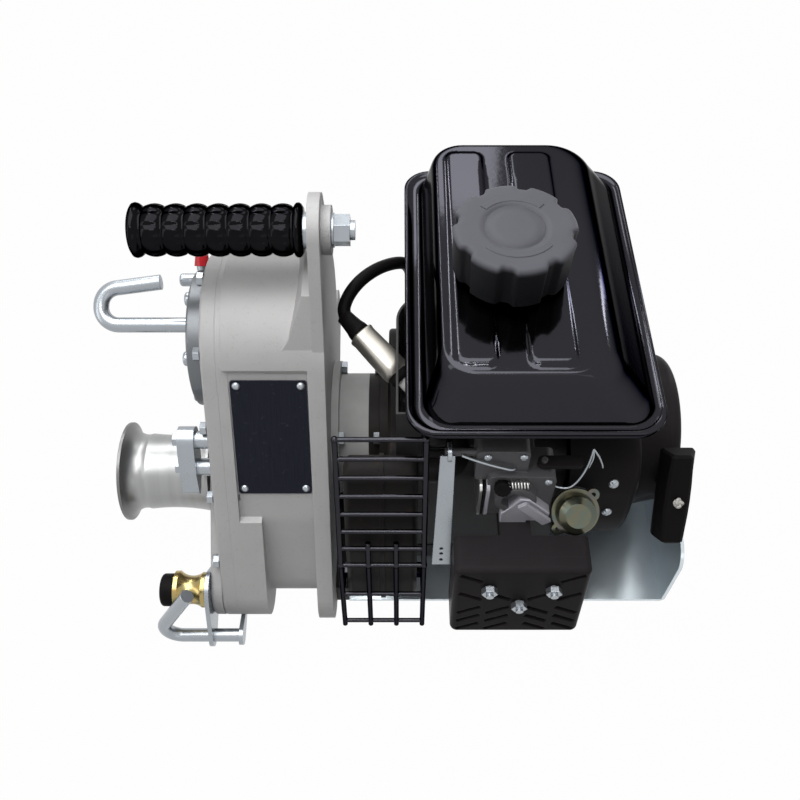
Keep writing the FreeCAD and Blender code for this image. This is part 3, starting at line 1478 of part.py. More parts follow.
NODES = {
    "gearbox_housing": make_housing,
    "gearbox_cover": make_cover,
    "case_bolts": make_case_bolts,
    "bearing_cap": make_bearing_cap,
    "nipple_cap": make_nipple_cap,
    "exit_hook": make_exit_hook,
    "entry_bracket": make_entry_bracket,
    "guide_roller": make_guide_roller,
    "roller_pin": make_roller_pin,
    "roller_bumper": make_bumper,
    "rope_guard": make_rope_guard,
    "capstan_drum": make_drum,
    "drum_shaft": make_drum_shaft,
    "output_gear": make_output_gear,
    "first_idler_gear": make_first_idler,
    "second_idler_gear": make_second_idler,
    "idler_axle": make_idler_axle,
    "layshaft": make_layshaft,
    "layshaft_gear": make_layshaft_gear,
    "input_pinion": make_input_pinion,
    "clutch_drum": make_clutch_drum,
    "shaft_bearings": make_bearings,
    "clutch_housing": make_clutch_housing,
    "clutch_hub": make_clutch_hub,
    "crankshaft": make_crankshaft,
    "flywheel": make_flywheel,
    "crankcase_cover": make_crankcase_cover,
    "crankcase": make_crankcase,
    "cylinder_head": make_head,
    "spark_plug": make_spark_plug,
    "plug_cap": make_plug_cap,
    "plug_lead": make_plug_lead,
    "ignition_coil": make_ignition_coil,
    "cylinder_shroud": make_cylinder_shroud,
    "muffler": make_muffler,
    "muffler_guard": make_muffler_guard,
    "carburettor": make_carburettor,
    "float_bowl": make_float_bowl,
    "choke_lever": make_choke_lever,
    "throttle_lever": make_throttle_lever,
    "air_cleaner_case": make_cleaner_case,
    "air_cleaner_cover": make_cleaner_cover,
    "filter_element": make_filter,
    "fan_housing": make_fan_housing,
    "recoil_cover": make_recoil_cover,
    "recoil_pulley": make_recoil_pulley,
    "starter_handle": make_starter_handle,
    "starter_rope": make_starter_rope,
    "fuel_tank_top": make_tank_top,
    "fuel_tank_bottom": make_tank_bottom,
    "fuel_cap": make_fuel_cap,
    "base_plate": make_base_plate,
    "engine_fasteners": make_engine_fasteners,
    "handle_rod": make_handle_parts,
    "handle_grip": make_grip,
    "nameplate": make_nameplate,
    "nameplate_rivets": make_rivets,
}

os.makedirs("parts", exist_ok=True)
for name, maker in NODES.items():
    maker().exportStep("parts/" + name + ".step")
for number, side in ((1, 1), (2, -1)):
    make_shoe(side).exportStep("parts/clutch_shoe_%d.step" % number)
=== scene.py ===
import json
import math

import bmesh
import bpy
from bpy.props import FloatProperty, FloatVectorProperty, IntProperty, PointerProperty
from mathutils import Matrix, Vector


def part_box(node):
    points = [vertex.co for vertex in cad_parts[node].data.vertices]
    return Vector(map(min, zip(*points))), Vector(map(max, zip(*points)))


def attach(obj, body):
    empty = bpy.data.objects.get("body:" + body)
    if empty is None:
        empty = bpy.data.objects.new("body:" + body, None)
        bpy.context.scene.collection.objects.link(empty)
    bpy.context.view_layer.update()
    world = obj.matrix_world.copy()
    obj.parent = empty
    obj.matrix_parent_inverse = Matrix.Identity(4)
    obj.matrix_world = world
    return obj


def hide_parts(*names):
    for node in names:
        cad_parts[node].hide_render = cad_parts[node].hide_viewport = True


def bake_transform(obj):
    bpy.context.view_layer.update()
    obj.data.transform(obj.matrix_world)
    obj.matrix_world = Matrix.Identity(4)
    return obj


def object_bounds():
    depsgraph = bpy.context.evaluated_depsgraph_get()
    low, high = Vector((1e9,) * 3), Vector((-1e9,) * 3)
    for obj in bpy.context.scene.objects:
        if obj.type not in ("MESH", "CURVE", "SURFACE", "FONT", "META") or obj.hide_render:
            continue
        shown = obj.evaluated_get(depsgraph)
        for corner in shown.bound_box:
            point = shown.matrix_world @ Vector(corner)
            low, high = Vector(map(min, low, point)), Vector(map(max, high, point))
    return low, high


bl_info = {
    "name": "Capstan winch dressing",
    "version": (1, 0, 0),
    "blender": (4, 5, 0),
    "location": "View3D > Sidebar > Winch",
    "description": "Finishes and fine pieces of a petrol capstan winch around its packed solids",
    "category": "Object",
}

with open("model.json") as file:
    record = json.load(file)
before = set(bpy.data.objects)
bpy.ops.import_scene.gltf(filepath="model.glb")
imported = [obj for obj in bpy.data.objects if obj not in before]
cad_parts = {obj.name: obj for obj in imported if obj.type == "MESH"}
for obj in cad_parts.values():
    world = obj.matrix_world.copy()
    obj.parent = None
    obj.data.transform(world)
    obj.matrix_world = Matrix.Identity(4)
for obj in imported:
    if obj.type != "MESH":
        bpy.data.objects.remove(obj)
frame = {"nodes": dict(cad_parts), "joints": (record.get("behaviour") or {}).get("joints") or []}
nodes = frame["nodes"]
solid_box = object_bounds()
mm = 0.001


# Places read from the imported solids

def middle_of(node):
    low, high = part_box(node)
    return (low + high) / 2


grip_low, grip_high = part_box("handle_grip")
tank_low, tank_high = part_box("fuel_tank_top")
cap_low, cap_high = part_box("fuel_cap")
cap_middle = middle_of("fuel_cap")
drum_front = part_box("capstan_drum")[0].x
starter_middle = middle_of("starter_handle")


def spot(x, y, z):
    """A place in the shared frame, given in millimetres"""
    return Vector((x, y, z)) * mm


# Settings that a user would change

class WinchColours(bpy.types.PropertyGroup):
    """Base colours of the finishes"""
    cast_alloy: FloatVectorProperty(
        name="Cast alloy", description="Blasted gear case casting", subtype="COLOR",
        size=3, min=0.0, max=1.0, default=(0.47, 0.465, 0.465))
    engine_alloy: FloatVectorProperty(
        name="Engine alloy", description="Crankcase, cylinder and shroud", subtype="COLOR",
        size=3, min=0.0, max=1.0, default=(0.055, 0.055, 0.057))
    zinc: FloatVectorProperty(
        name="Bright zinc", description="Hooks, brackets and bolts", subtype="COLOR",
        size=3, min=0.0, max=1.0, default=(0.37, 0.40, 0.43))
    gloss_black: FloatVectorProperty(
        name="Gloss black", description="Tank enamel", subtype="COLOR",
        size=3, min=0.0, max=1.0, default=(0.030, 0.030, 0.035))
    satin_black: FloatVectorProperty(
        name="Satin black", description="Moulded covers", subtype="COLOR",
        size=3, min=0.0, max=1.0, default=(0.033, 0.030, 0.032))
    cap_grey: FloatVectorProperty(
        name="Cap grey", description="Moulded fuel cap", subtype="COLOR",
        size=3, min=0.0, max=1.0, default=(0.105, 0.106, 0.122))
    gold: FloatVectorProperty(
        name="Yellow zinc", description="Guide roller", subtype="COLOR",
        size=3, min=0.0, max=1.0, default=(0.42, 0.30, 0.115))
    bowl_gold: FloatVectorProperty(
        name="Bowl gold", description="Aged plating of the float bowl", subtype="COLOR",
        size=3, min=0.0, max=1.0, default=(0.115, 0.110, 0.072))


class WinchSizes(bpy.types.PropertyGroup):
    """Sizes of the pieces that are made here"""
    pad_height: FloatProperty(
        name="Pad height", description="Rise of the pressed pads on the tank", subtype="DISTANCE",
        unit="LENGTH", default=2.5 * mm)
    pad_slope: FloatProperty(
        name="Pad slope", description="Width of the pressed slope round a pad", subtype="DISTANCE",
        unit="LENGTH", default=3.2 * mm)
    tank_hem: FloatProperty(
        name="Tank hem", description="Radius of the rolled hem along the tank seam", subtype="DISTANCE",
        unit="LENGTH", default=1.6 * mm)
    cap_notches: IntProperty(
        name="Cap notches", description="Notches round the fuel cap", default=8, min=3)
    grip_beads: IntProperty(
        name="Grip beads", description="Rings of beads along the grip", default=7, min=1)
    grip_lobes: IntProperty(
        name="Grip lobes", description="Beads round the grip", default=10, min=3)
    lead_radius: FloatProperty(
        name="Lead radius", description="Radius of the plug lead", subtype="DISTANCE",
        unit="LENGTH", default=4.3 * mm)
    rope_radius: FloatProperty(
        name="Rope radius", description="Radius of the starter rope", subtype="DISTANCE",
        unit="LENGTH", default=2.0 * mm)
    rope_lay: FloatProperty(
        name="Rope lay", description="Length of one turn of a strand", subtype="DISTANCE",
        unit="LENGTH", default=14.0 * mm)


class WinchStage(bpy.types.PropertyGroup):
    """Camera, lamps and floor"""
    camera_place: FloatVectorProperty(
        name="Camera", description="Place of the camera", subtype="TRANSLATION",
        size=3, default=(-0.050, -0.372, 0.637))
    camera_tilt: FloatProperty(
        name="Tilt", description="Tilt of the camera from straight down", subtype="ANGLE",
        unit="ROTATION", default=math.radians(36.0))
    lens: FloatProperty(
        name="Lens", description="Focal length for a 36 mm sensor", subtype="DISTANCE_CAMERA", default=40.5)
    floor_colour: FloatVectorProperty(
        name="Floor", description="Colour of the floor", subtype="COLOR",
        size=3, min=0.0, max=1.0, default=(0.28, 0.28, 0.28))
    world_light: FloatProperty(
        name="World light", description="Strength of the even light from all round", default=0.13)
    key_power: FloatProperty(
        name="Key power", description="Power of the main soft box", unit="POWER", default=17.0)
    side_power: FloatProperty(
        name="Side power", description="Power of the strip light on the left", unit="POWER", default=1.6)
    front_power: FloatProperty(
        name="Front power", description="Power of the low front light", unit="POWER", default=0.6)


# Shader maths

class Value:
    """A socket of a finish. Arithmetic on it adds Math nodes."""

    def __init__(self, finish, socket):
        self.finish = finish
        self.socket = socket

    def maths(self, operation, first, second):
        return self.finish.node("ShaderNodeMath", {"operation": operation}, {0: first, 1: second})

    def __add__(self, other):
        return self.maths("ADD", self, other)

    def __sub__(self, other):
        return self.maths("SUBTRACT", self, other)

    def __rsub__(self, other):
        return self.maths("SUBTRACT", other, self)

    def __mul__(self, other):
        return self.maths("MULTIPLY", self, other)

    __radd__ = __add__
    __rmul__ = __mul__


class Finish:
    """One material, or the world, built up from its nodes"""

    def __init__(self, name, world=None):
        self.material = world or bpy.data.materials.new(name)
        self.material.use_nodes = True
        self.tree = self.material.node_tree
        self.tree.nodes.clear()
        self.held = {}

    def node(self, kind, settings, sockets, out=0):
        """Adds a node with its settings, then its socket values or links, and gives one of its outputs"""
        made = self.tree.nodes.new(kind)
        for key, value in settings.items():
            setattr(made, key, value)
        for key, value in sockets.items():
            self.feed(made.inputs[key], value)
        if made.outputs:
            return Value(self, made.outputs[out])
        return None

    def feed(self, socket, value):
        if isinstance(value, Value):
            self.tree.links.new(value.socket, socket)
        elif socket.type == "RGBA" and len(value) == 3:
            socket.default_value = (*value, 1.0)
        else:
            socket.default_value = value

    def place(self):
        """Where a point lies on the piece, in metres"""
        if "place" not in self.held:
            self.held["place"] = self.node("ShaderNodeTexCoord", {}, {}, "Object")
        return self.held["place"]

    def stretched(self, stretch):
        return self.node("ShaderNodeMapping", {}, {"Vector": self.place(), "Scale": stretch})

    def noise(self, grain, detail=2.0, rough=0.5, stretch=(1, 1, 1)):
        """Noise whose grains are about that many metres across"""
        sockets = {"Vector": self.stretched(stretch), "Scale": 1 / grain}
        sockets["Detail"] = detail
        sockets["Roughness"] = rough
        return self.node("ShaderNodeTexNoise", {}, sockets)

    def cells(self, grain):
        return self.node("ShaderNodeTexVoronoi", {}, {"Vector": self.place(), "Scale": 1 / grain})

    def step(self, value, low, high):
        settings = {"interpolation_type": "SMOOTHSTEP"}
        return self.node("ShaderNodeMapRange", settings, {0: value, 1: low, 2: high, 3: 0.0, 4: 1.0})

    def mix(self, share, first, second):
        settings = {"data_type": "RGBA"}
        return self.node("ShaderNodeMix", settings, {0: share, 6: first, 7: second}, 2)

    def along(self, axis):
        """Where a point lies along X, Y or Z"""
        return self.node("ShaderNodeSeparateXYZ", {}, {"Vector": self.place()}, axis)

    def white_rays(self):
        """1 for the rays that should meet a plain white background"""
        camera = self.node("ShaderNodeLightPath", {}, {}, "Is Camera Ray")
        glossy = self.node("ShaderNodeLightPath", {}, {}, "Is Glossy Ray")
        through = self.node("ShaderNodeLightPath", {}, {}, "Is Transmission Ray")
        return camera + glossy + through

    def soft_normal(self, radius):
        """Surface direction with the edges rounded off"""
        return self.node("ShaderNodeBevel", {"samples": 4}, {"Radius": radius})

    def edge_mask(self, radius):
        """1 where the surface turns over an edge"""
        sharp = self.node("ShaderNodeNewGeometry", {}, {}, "Normal")
        settings = {"operation": "DOT_PRODUCT"}
        same = self.node("ShaderNodeVectorMath", settings, {0: self.soft_normal(radius), 1: sharp}, "Value")
        return self.step(1 - same, 0.02, 0.16)

    def bump(self, height, depth, normal=None):
        sockets = {"Height": height, "Distance": depth, "Strength": 1.0}
        if normal is not None:
            sockets["Normal"] = normal
        return self.node("ShaderNodeBump", {}, sockets)

    def surface(self, sockets):
        shader = self.node("ShaderNodeBsdfPrincipled", {}, sockets)
        self.node("ShaderNodeOutputMaterial", {}, {"Surface": shader})
        return self.material


finishes = {}


def finish_named(name):
    """The finish of that name, made on first use"""
    if name not in finishes:
        finishes[name] = FINISH_MAKERS[name]()
    return finishes[name]


def colours():
    return bpy.context.scene.winch_colours


def dark(colour, share):
    return tuple(channel * share for channel in colour)


def make_clutch_alloy():
    """Pale bell by the gear case that turns to black paint by the engine"""
    f = Finish("clutch_alloy")
    cloud = f.noise(14 * mm, 3.0)
    grain = f.noise(0.7 * mm, 2.0, 0.6)
    painted = f.step(f.along(0), -72 * mm, -71.4 * mm)
    alloy = f.mix(cloud, (0.42, 0.42, 0.415), (0.58, 0.58, 0.575))
    paint = f.mix(cloud, (0.012, 0.011, 0.011), (0.030, 0.026, 0.024))
    normal = f.bump(grain, 0.06 * mm, f.soft_normal(0.6 * mm))
    sockets = {"Base Color": f.mix(painted, alloy, paint), "Roughness": 0.5, "Normal": normal}
    sockets["Specular IOR Level"] = 0.1
    return f.surface(sockets)


def make_casting(name, colour, metal):
    """Blasted casting with pits and edges rubbed bright"""
    f = Finish(name)
    cloud = f.noise(40 * mm, 3.0)
    grain = f.noise(0.9 * mm, 3.0, 0.65)
    pits = f.step(f.noise(2.2 * mm, 1.0), 0.62, 0.75)
    worn = f.edge_mask(0.9 * mm)
    base = f.mix(cloud, dark(colour, 0.86), dark(colour, 1.06))
    base = f.mix(pits * 0.22, base, dark(colour, 0.68))
    base = f.mix(worn * 0.55, base, dark(colour, 1.30))
    rough = 0.50 + grain * 0.16 - worn * 0.14
    height = grain - pits * 0.6
    normal = f.bump(height, 0.10 * mm, f.soft_normal(0.9 * mm))
    sockets = {"Base Color": base, "Metallic": metal, "Roughness": rough, "Normal": normal}
    sockets["Specular IOR Level"] = 0.2
    return f.surface(sockets)


def make_metal(name, colour, metal, rough, streak, radius):
    """Plain metal with fine streaks, dull clouds and brighter edges"""
    f = Finish(name)
    cloud = f.noise(18 * mm, 3.0)
    lines = f.noise(1.2 * mm, 2.0, 0.6, streak)
    worn = f.edge_mask(radius)
    base = f.mix(cloud, dark(colour, 0.88), colour)
    base = f.mix(worn * 0.5, base, tuple(min(1.0, 1.22 * c) for c in colour))
    gloss = rough * 0.8 + cloud * (rough * 0.35) + lines * (rough * 0.25)
    normal = f.bump(lines, 0.012 * mm, f.soft_normal(radius))
    return f.surface({"Base Color": base, "Metallic": metal, "Roughness": gloss, "Normal": normal})


def make_yellow_zinc(name, gold, metal):
    """Passivated zinc that turns from gold to olive and to pink"""
    f = Finish(name)
    cloud = f.noise(7 * mm, 3.0)
    olive = (gold[0] * 0.80, gold[1] * 1.02, gold[2] * 1.3)
    pink = (gold[0] * 0.85, gold[1] * 0.65, gold[2] * 1.2)
    base = f.mix(f.step(cloud, 0.35, 0.7), gold, olive)
    base = f.mix(f.step(f.noise(16 * mm, 1.0), 0.6, 0.75) * 0.4, base, pink)
    normal = f.bump(f.noise(1.0 * mm), 0.01 * mm, f.soft_normal(0.4 * mm))
    rough = 0.16 + cloud * 0.16
    return f.surface({"Base Color": base, "Metallic": metal, "Roughness": rough, "Normal": normal})


def make_drum_alloy():
    """Turned alloy with fine rings, and painted shade inside the flare"""
    f = Finish("turned_alloy")
    rings = f.noise(0.35 * mm, 2.0, 0.7, (1, 0.002, 0.002))
    bands = f.noise(6 * mm, 2.0, 0.5, (1, 0.01, 0.01))
    base = f.mix(bands, (0.29, 0.292, 0.292), (0.40, 0.403, 0.405))
    # Painted shade: the flare end is darkened where shade falls inside the flare
    body = f.step(f.along(0), drum_front + 3 * mm, drum_front + 13 * mm)
    base = f.mix(body, (0.18, 0.18, 0.18), base)
    normal = f.bump(rings, 0.03 * mm, f.soft_normal(0.5 * mm))
    rough = 0.26 + rings * 0.18
    return f.surface({"Base Color": base, "Metallic": 0.8, "Roughness": rough, "Normal": normal})


def make_gloss_black():
    """Thick enamel with a slight orange peel and fine dust"""
    black = colours().gloss_black
    f = Finish("gloss_black_enamel")
    peel = f.noise(3.5 * mm, 1.0)
    sag = f.noise(30 * mm, 1.0)
    dust = f.step(f.noise(1.1 * mm, 2.0, 0.6), 0.66, 0.74)
    base = f.mix(dust * 0.35, black, dark(black, 1.3))
    rough = 0.07 + dust * 0.10 + sag * 0.03
    normal = f.bump(peel * 0.35 + sag, 0.05 * mm, f.soft_normal(0.8 * mm))
    sockets = {"Base Color": base, "Metallic": 1.0, "Roughness": rough, "Normal": normal}
    sockets["Specular Tint"] = (0.3, 0.3, 0.3)
    return f.surface(sockets)


def make_moulded(name, colour, rough, grain, depth, radius, gloss):
    """Moulded plastic with a fine spark texture and paler edges, partly rubbed wear and partly a painted
    highlight
    """
    f = Finish(name)
    spark = f.noise(grain, 2.0, 0.6)
    cloud = f.noise(25 * mm, 2.0)
    worn = f.edge_mask(radius)
    base = f.mix(cloud, dark(colour, 0.8), dark(colour, 1.15))
    # Paler edges: partly rubbed wear, partly a painted highlight along the edges
    base = f.mix(worn * 0.5, base, tuple(1.5 * c + 0.02 for c in colour))
    normal = f.bump(spark, depth, f.soft_normal(radius))
    sockets = {"Base Color": base, "Roughness": rough + cloud * 0.08 - worn * 0.08, "Normal": normal}
    sockets["Specular IOR Level"] = gloss
    return f.surface(sockets)


def make_cap_grey():
    """Moulded grey top over a skirt darkened to near black as painted shade"""
    f = Finish("cap_grey")
    grey = colours().cap_grey
    spark = f.noise(0.6 * mm, 2.0, 0.6)
    cloud = f.noise(25 * mm, 2.0)
    worn = f.edge_mask(0.9 * mm)
    # Painted shade: below the top the skirt is darkened to near black, as it lies in shade under the light
    # from above
    top = f.step(f.along(2), cap_high.z - 5 * mm, cap_high.z - 1.2 * mm)
    base = f.mix(cloud, dark(grey, 0.88), dark(grey, 1.1))
    base = f.mix(worn * 0.4, base, dark(grey, 1.35))
    base = f.mix(top, dark(grey, 0.12), base)
    normal = f.bump(spark, 0.04 * mm, f.soft_normal(0.9 * mm))
    sockets = {"Base Color": base, "Roughness": 0.44 + cloud * 0.08, "Normal": normal}
    sockets["Specular IOR Level"] = 0.12
    return f.surface(sockets)


def make_grip_black():
    """Glossy moulded rubber with fine scratches"""
    f = Finish("grip_black")
    cloud = f.noise(6 * mm, 2.0)
    scratch = f.step(f.noise(0.9 * mm, 2.0, 0.6), 0.60, 0.75)
    base = f.mix(cloud, (0.006, 0.006, 0.007), (0.010, 0.010, 0.011))
    normal = f.bump(cloud, 0.03 * mm, f.soft_normal(0.4 * mm))
    sockets = {"Base Color": base, "Metallic": 1.0, "Roughness": 0.11 + scratch * 0.12, "Normal": normal}
    sockets["Specular Tint"] = (0.3, 0.3, 0.3)
    return f.surface(sockets)


def make_heat_black():
    """Stove black that has begun to rust"""
    f = Finish("heat_black")
    cloud = f.noise(22 * mm, 3.0)
    grain = f.noise(0.8 * mm, 2.0, 0.6)
    rust = f.step(f.noise(9 * mm, 3.0), 0.60, 0.78)
    worn = f.edge_mask(0.5 * mm)
    base = f.mix(cloud, (0.010, 0.009, 0.009), (0.020, 0.018, 0.017))
    base = f.mix(rust * 0.35, base, (0.060, 0.032, 0.020))
    base = f.mix(worn * 0.35, base, (0.09, 0.085, 0.08))
    normal = f.bump(grain, 0.04 * mm, f.soft_normal(0.5 * mm))
    sockets = {"Base Color": base, "Roughness": 0.36 + cloud * 0.2, "Normal": normal}
    sockets["Specular IOR Level"] = 0.08
    return f.surface(sockets)


def make_ceramic():
    f = Finish("white_ceramic")
    cloud = f.noise(6 * mm, 2.0)
    base = f.mix(cloud, (0.70, 0.69, 0.66), (0.80, 0.79, 0.77))
    return f.surface({"Base Color": base, "Roughness": 0.18 + cloud * 0.1})


def make_rope_white():
    """White braid with soil in it"""
    f = Finish("white_rope")
    fibre = f.noise(0.35 * mm, 2.0, 0.6)
    soil = f.step(f.noise(12 * mm, 2.0), 0.45, 0.75)
    base = f.mix(soil * 0.5, (0.74, 0.73, 0.69), (0.42, 0.40, 0.35))
    normal = f.bump(fibre, 0.10 * mm)
    sockets = {"Base Color": base, "Roughness": 0.82 - fibre * 0.1, "Normal": normal, "Sheen Weight": 0.2}
    return f.surface(sockets)


def make_foam():
    f = Finish("filter_foam")
    cell = f.cells(1.6 * mm)
    base = f.mix(cell, (0.020, 0.020, 0.018), (0.075, 0.073, 0.065))
    return f.surface({"Base Color": base, "Roughness": 0.9 - cell * 0.1, "Normal": f.bump(cell, 0.6 * mm)})


def make_nameplate():
    """Bare dark plate, brushed, with pale worn edges"""
    f = Finish("dark_nameplate")
    brush = f.noise(0.5 * mm, 2.0, 0.6, (1, 0.03, 0.03))
    scuff = f.step(f.noise(5 * mm, 4.0, 0.7), 0.60, 0.72)
    worn = f.edge_mask(0.4 * mm)
    base = f.mix(brush, (0.008, 0.009, 0.016), (0.020, 0.022, 0.034))
    base = f.mix(scuff * 0.25, base, (0.08, 0.085, 0.10))
    base = f.mix(worn * 0.7, base, (0.36, 0.36, 0.36))
    normal = f.bump(brush, 0.02 * mm, f.soft_normal(0.3 * mm))
    sockets = {"Base Color": base, "Roughness": 0.30 + brush * 0.16, "Normal": normal}
    sockets["Specular IOR Level"] = 0.08
    return f.surface(sockets)


FINISH_MAKERS = {
    "cast_alloy": lambda: make_casting("cast_alloy", colours().cast_alloy, 0.20),
    "carb_alloy": lambda: make_casting("carb_alloy", (0.13, 0.128, 0.135), 0.25),
    "clutch_alloy": make_clutch_alloy,
    "engine_alloy": lambda: make_casting("engine_alloy", colours().engine_alloy, 0.15),
    "zinc": lambda: make_metal("bright_zinc", colours().zinc, 0.85, 0.26, (1, 1, 0.25), 0.5 * mm),
    "zinc_sheet": lambda: make_metal("zinc_sheet", (0.84, 0.94, 1.0), 0.60, 0.17, (0.3, 1, 1), 0.5 * mm),
    "pale_alloy": lambda: make_metal("pale_alloy", (0.66, 0.65, 0.72), 0.25, 0.42, (1, 1, 1), 0.4 * mm),
    "steel": lambda: make_metal("machined_steel", (0.58, 0.58, 0.57), 1.0, 0.30, (1, 1, 1), 0.3 * mm),
    "dark_steel": lambda: make_metal("dark_steel", (0.16, 0.17, 0.18), 0.75, 0.36, (0.2, 1, 1), 0.6 * mm),
    "gold": lambda: make_yellow_zinc("yellow_zinc", colours().gold, 1.0),
    "bowl_gold": lambda: make_yellow_zinc("aged_yellow_zinc", colours().bowl_gold, 0.8),
    "drum_alloy": make_drum_alloy,
    "gloss_black": make_gloss_black,
    "satin_black": lambda: make_moulded(
        "satin_black", colours().satin_black, 0.30, 0.7 * mm, 0.03 * mm, 0.7 * mm, 0.015),
    "cap_grey": make_cap_grey,
    "grip_black": make_grip_black,
    "rubber": lambda: make_moulded(
        "black_rubber", (0.008, 0.007, 0.007), 0.46, 0.9 * mm, 0.03 * mm, 0.5 * mm, 0.05),
    "red": lambda: make_moulded(
        "red_plastic", (0.62, 0.02, 0.03), 0.25, 0.8 * mm, 0.01 * mm, 0.5 * mm, 0.40),
    "heat_black": make_heat_black,
    "shield": lambda: make_metal("plug_shield", (0.44, 0.42, 0.38), 0.9, 0.34, (1, 1, 1), 0.6 * mm),
    "ceramic": make_ceramic,
    "rope_white": make_rope_white,
    "foam": make_foam,
    "nameplate": make_nameplate,
}


# Mesh helpers

def round_turn(count):
    """Angles evenly round a circle"""
    return [2 * math.pi * k / count for k in range(count)]


def dress(piece, finish):
    piece.data.materials.clear()
    piece.data.materials.append(finish_named(finish))


def dress_nodes(finish, names):
    for name in names:
        dress(nodes[name], finish)


def riding_piece(name, data, finish, body):
    """A new piece of the winch that rides on a body"""
    piece = bpy.data.objects.new(name, data)
    bpy.context.scene.collection.objects.link(piece)
    dress(piece, finish)
    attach(piece, body)
    return piece


def piece_from(name, points, faces, finish, body, smooth=True):
    """A piece with that mesh, its faces turned outward"""
    mesh = bpy.data.meshes.new(name)
    mesh.from_pydata([tuple(p) for p in points], [], faces)
    mesh.validate()
    built = bmesh.new()
    built.from_mesh(mesh)
    bmesh.ops.recalc_face_normals(built, faces=built.faces)
    built.to_mesh(mesh)
    built.free()
    for face in mesh.polygons:
        face.use_smooth = smooth
    return riding_piece(name, mesh, finish, body)


def loft(rings, close_start=True, close_end=True, points=None, faces=None):
    """Points and faces through rings of equal count, for one closed skin"""
    points = [] if points is None else points
    faces = [] if faces is None else faces
    start = len(points)
    count = len(rings[0])
    for ring in rings:
        points.extend(ring)
    for row in range(len(rings) - 1):
        for k in range(count):
            a = start + row * count + k
            b = start + row * count + (k + 1) % count
            faces.append((a, b, b + count, a + count))
    if close_start:
        faces.append(tuple(range(start + count - 1, start - 1, -1)))
    if close_end:
        last = start + (len(rings) - 1) * count
        faces.append(tuple(range(last, last + count)))
    return points, faces


def lofted_piece(name, rings, finish, body, smooth=True):
    """A piece whose skin runs through the rings and is closed at both ends"""
    points, faces = loft(rings)
    return piece_from(name, points, faces, finish, body, smooth)


def lathe_rings(profile, centre, around, count):
    """Rings of a turned piece along X; around gives a radius factor for an angle"""
    rings = []
    for x, radius in profile:
        ring = []
        for turn in round_turn(count):
            reach = radius * around(turn, x)
            ring.append(Vector((x, centre.y + reach * math.cos(turn), centre.z + reach * math.sin(turn))))
        rings.append(ring)
    return rings


def rounded_outline(x0, x1, y0, y1, z, radius, corner_steps=10, side_steps=80):
    """Closed outline of a rectangle with round corners, evenly stepped on each side"""
    corners = [((x1 - radius, y1 - radius), 0), ((x0 + radius, y1 - radius), 90),
               ((x0 + radius, y0 + radius), 180), ((x1 - radius, y0 + radius), 270)]
    outline = []
    for k, ((cx, cy), start) in enumerate(corners):
        for step in range(corner_steps + 1):
            turn = math.radians(start + 90 * step / corner_steps)
            outline.append(Vector((cx + radius * math.cos(turn), cy + radius * math.sin(turn), z)))
        nx, ny = corners[(k + 1) % 4][0]
        angle = math.radians(start + 90)
        here = Vector((cx + radius * math.cos(angle), cy + radius * math.sin(angle), z))
        there = Vector((nx + radius * math.cos(angle), ny + radius * math.sin(angle), z))
        for step in range(1, side_steps):
            outline.append(here.lerp(there, step / side_steps))
    return outline


def upright_rings(profile, centre, count):
    """Rings of a turned piece along Z from pairs of height and radius"""
    rings = []
    for z, radius in profile:
        ring = []
        for turn in round_turn(count):
            ring.append(Vector((centre.x + radius * math.cos(turn), centre.y + radius * math.sin(turn), z)))
        rings.append(ring)
    return rings


def rounded_reach(point, x0, x1, y0, y1, radius):
    """How far a point lies outside a rectangle with round corners; negative inside it"""
    dx = abs(point.x - (x0 + x1) / 2) - (x1 - x0) / 2 + radius
    dy = abs(point.y - (y0 + y1) / 2) - (y1 - y0) / 2 + radius
    return math.hypot(max(dx, 0.0), max(dy, 0.0)) + min(max(dx, dy), 0.0) - radius


def tube_rings(centres, radii, sides):
    """Rings of a round tube along a line of points, carried along without twist"""
    rings = []
    along = (centres[1] - centres[0]).normalized()
    side = along.orthogonal().normalized()
    for k, centre in enumerate(centres):
        before = centres[max(k - 1, 0)]
        after = centres[min(k + 1, len(centres) - 1)]
        along = (after - before).normalized()
        side = (side - along * side.dot(along)).normalized()
        up = along.cross(side)
        outs = [side * math.cos(turn) + up * math.sin(turn) for turn in round_turn(sides)]
        rings.append([centre + out * radii[k] for out in outs])
    return rings


def smooth_share(share):
    return share * share * (3 - 2 * share)


def nurbs_curve(name, points, radius, finish, body, order=3):
    """A round tube along a smooth line"""
    curve = bpy.data.curves.new(name, "CURVE")
    curve.dimensions = "3D"
    curve.bevel_depth = radius
    curve.bevel_resolution = 6
    curve.use_fill_caps = True
    line = curve.splines.new("NURBS")
    line.points.add(len(points) - 1)
    for control, point in zip(line.points, points):
        control.co = (*point, 1.0)
    line.order_u = order
    line.use_endpoint_u = True
    line.resolution_u = 12
    line.use_smooth = True
    return riding_piece(name, curve, finish, body)


def turned_piece(name, start, way, profile, finish, body, ribs=0, rib_depth=0.0, sides=48):
    """A piece turned about a line; the profile is in pairs of millimetres along it and out from it"""
    side = way.orthogonal().normalized()
    up = way.cross(side)
    rings = []
    for along, radius in profile:
        ring = []
        for turn in round_turn(sides):
            reach = radius * (1 - rib_depth * (0.5 + 0.5 * math.cos(ribs * turn)))
            out = side * math.cos(turn) + up * math.sin(turn)
            ring.append(start + way * along * mm + out * reach * mm)
        rings.append(ring)
    return lofted_piece(name, rings, finish, body)


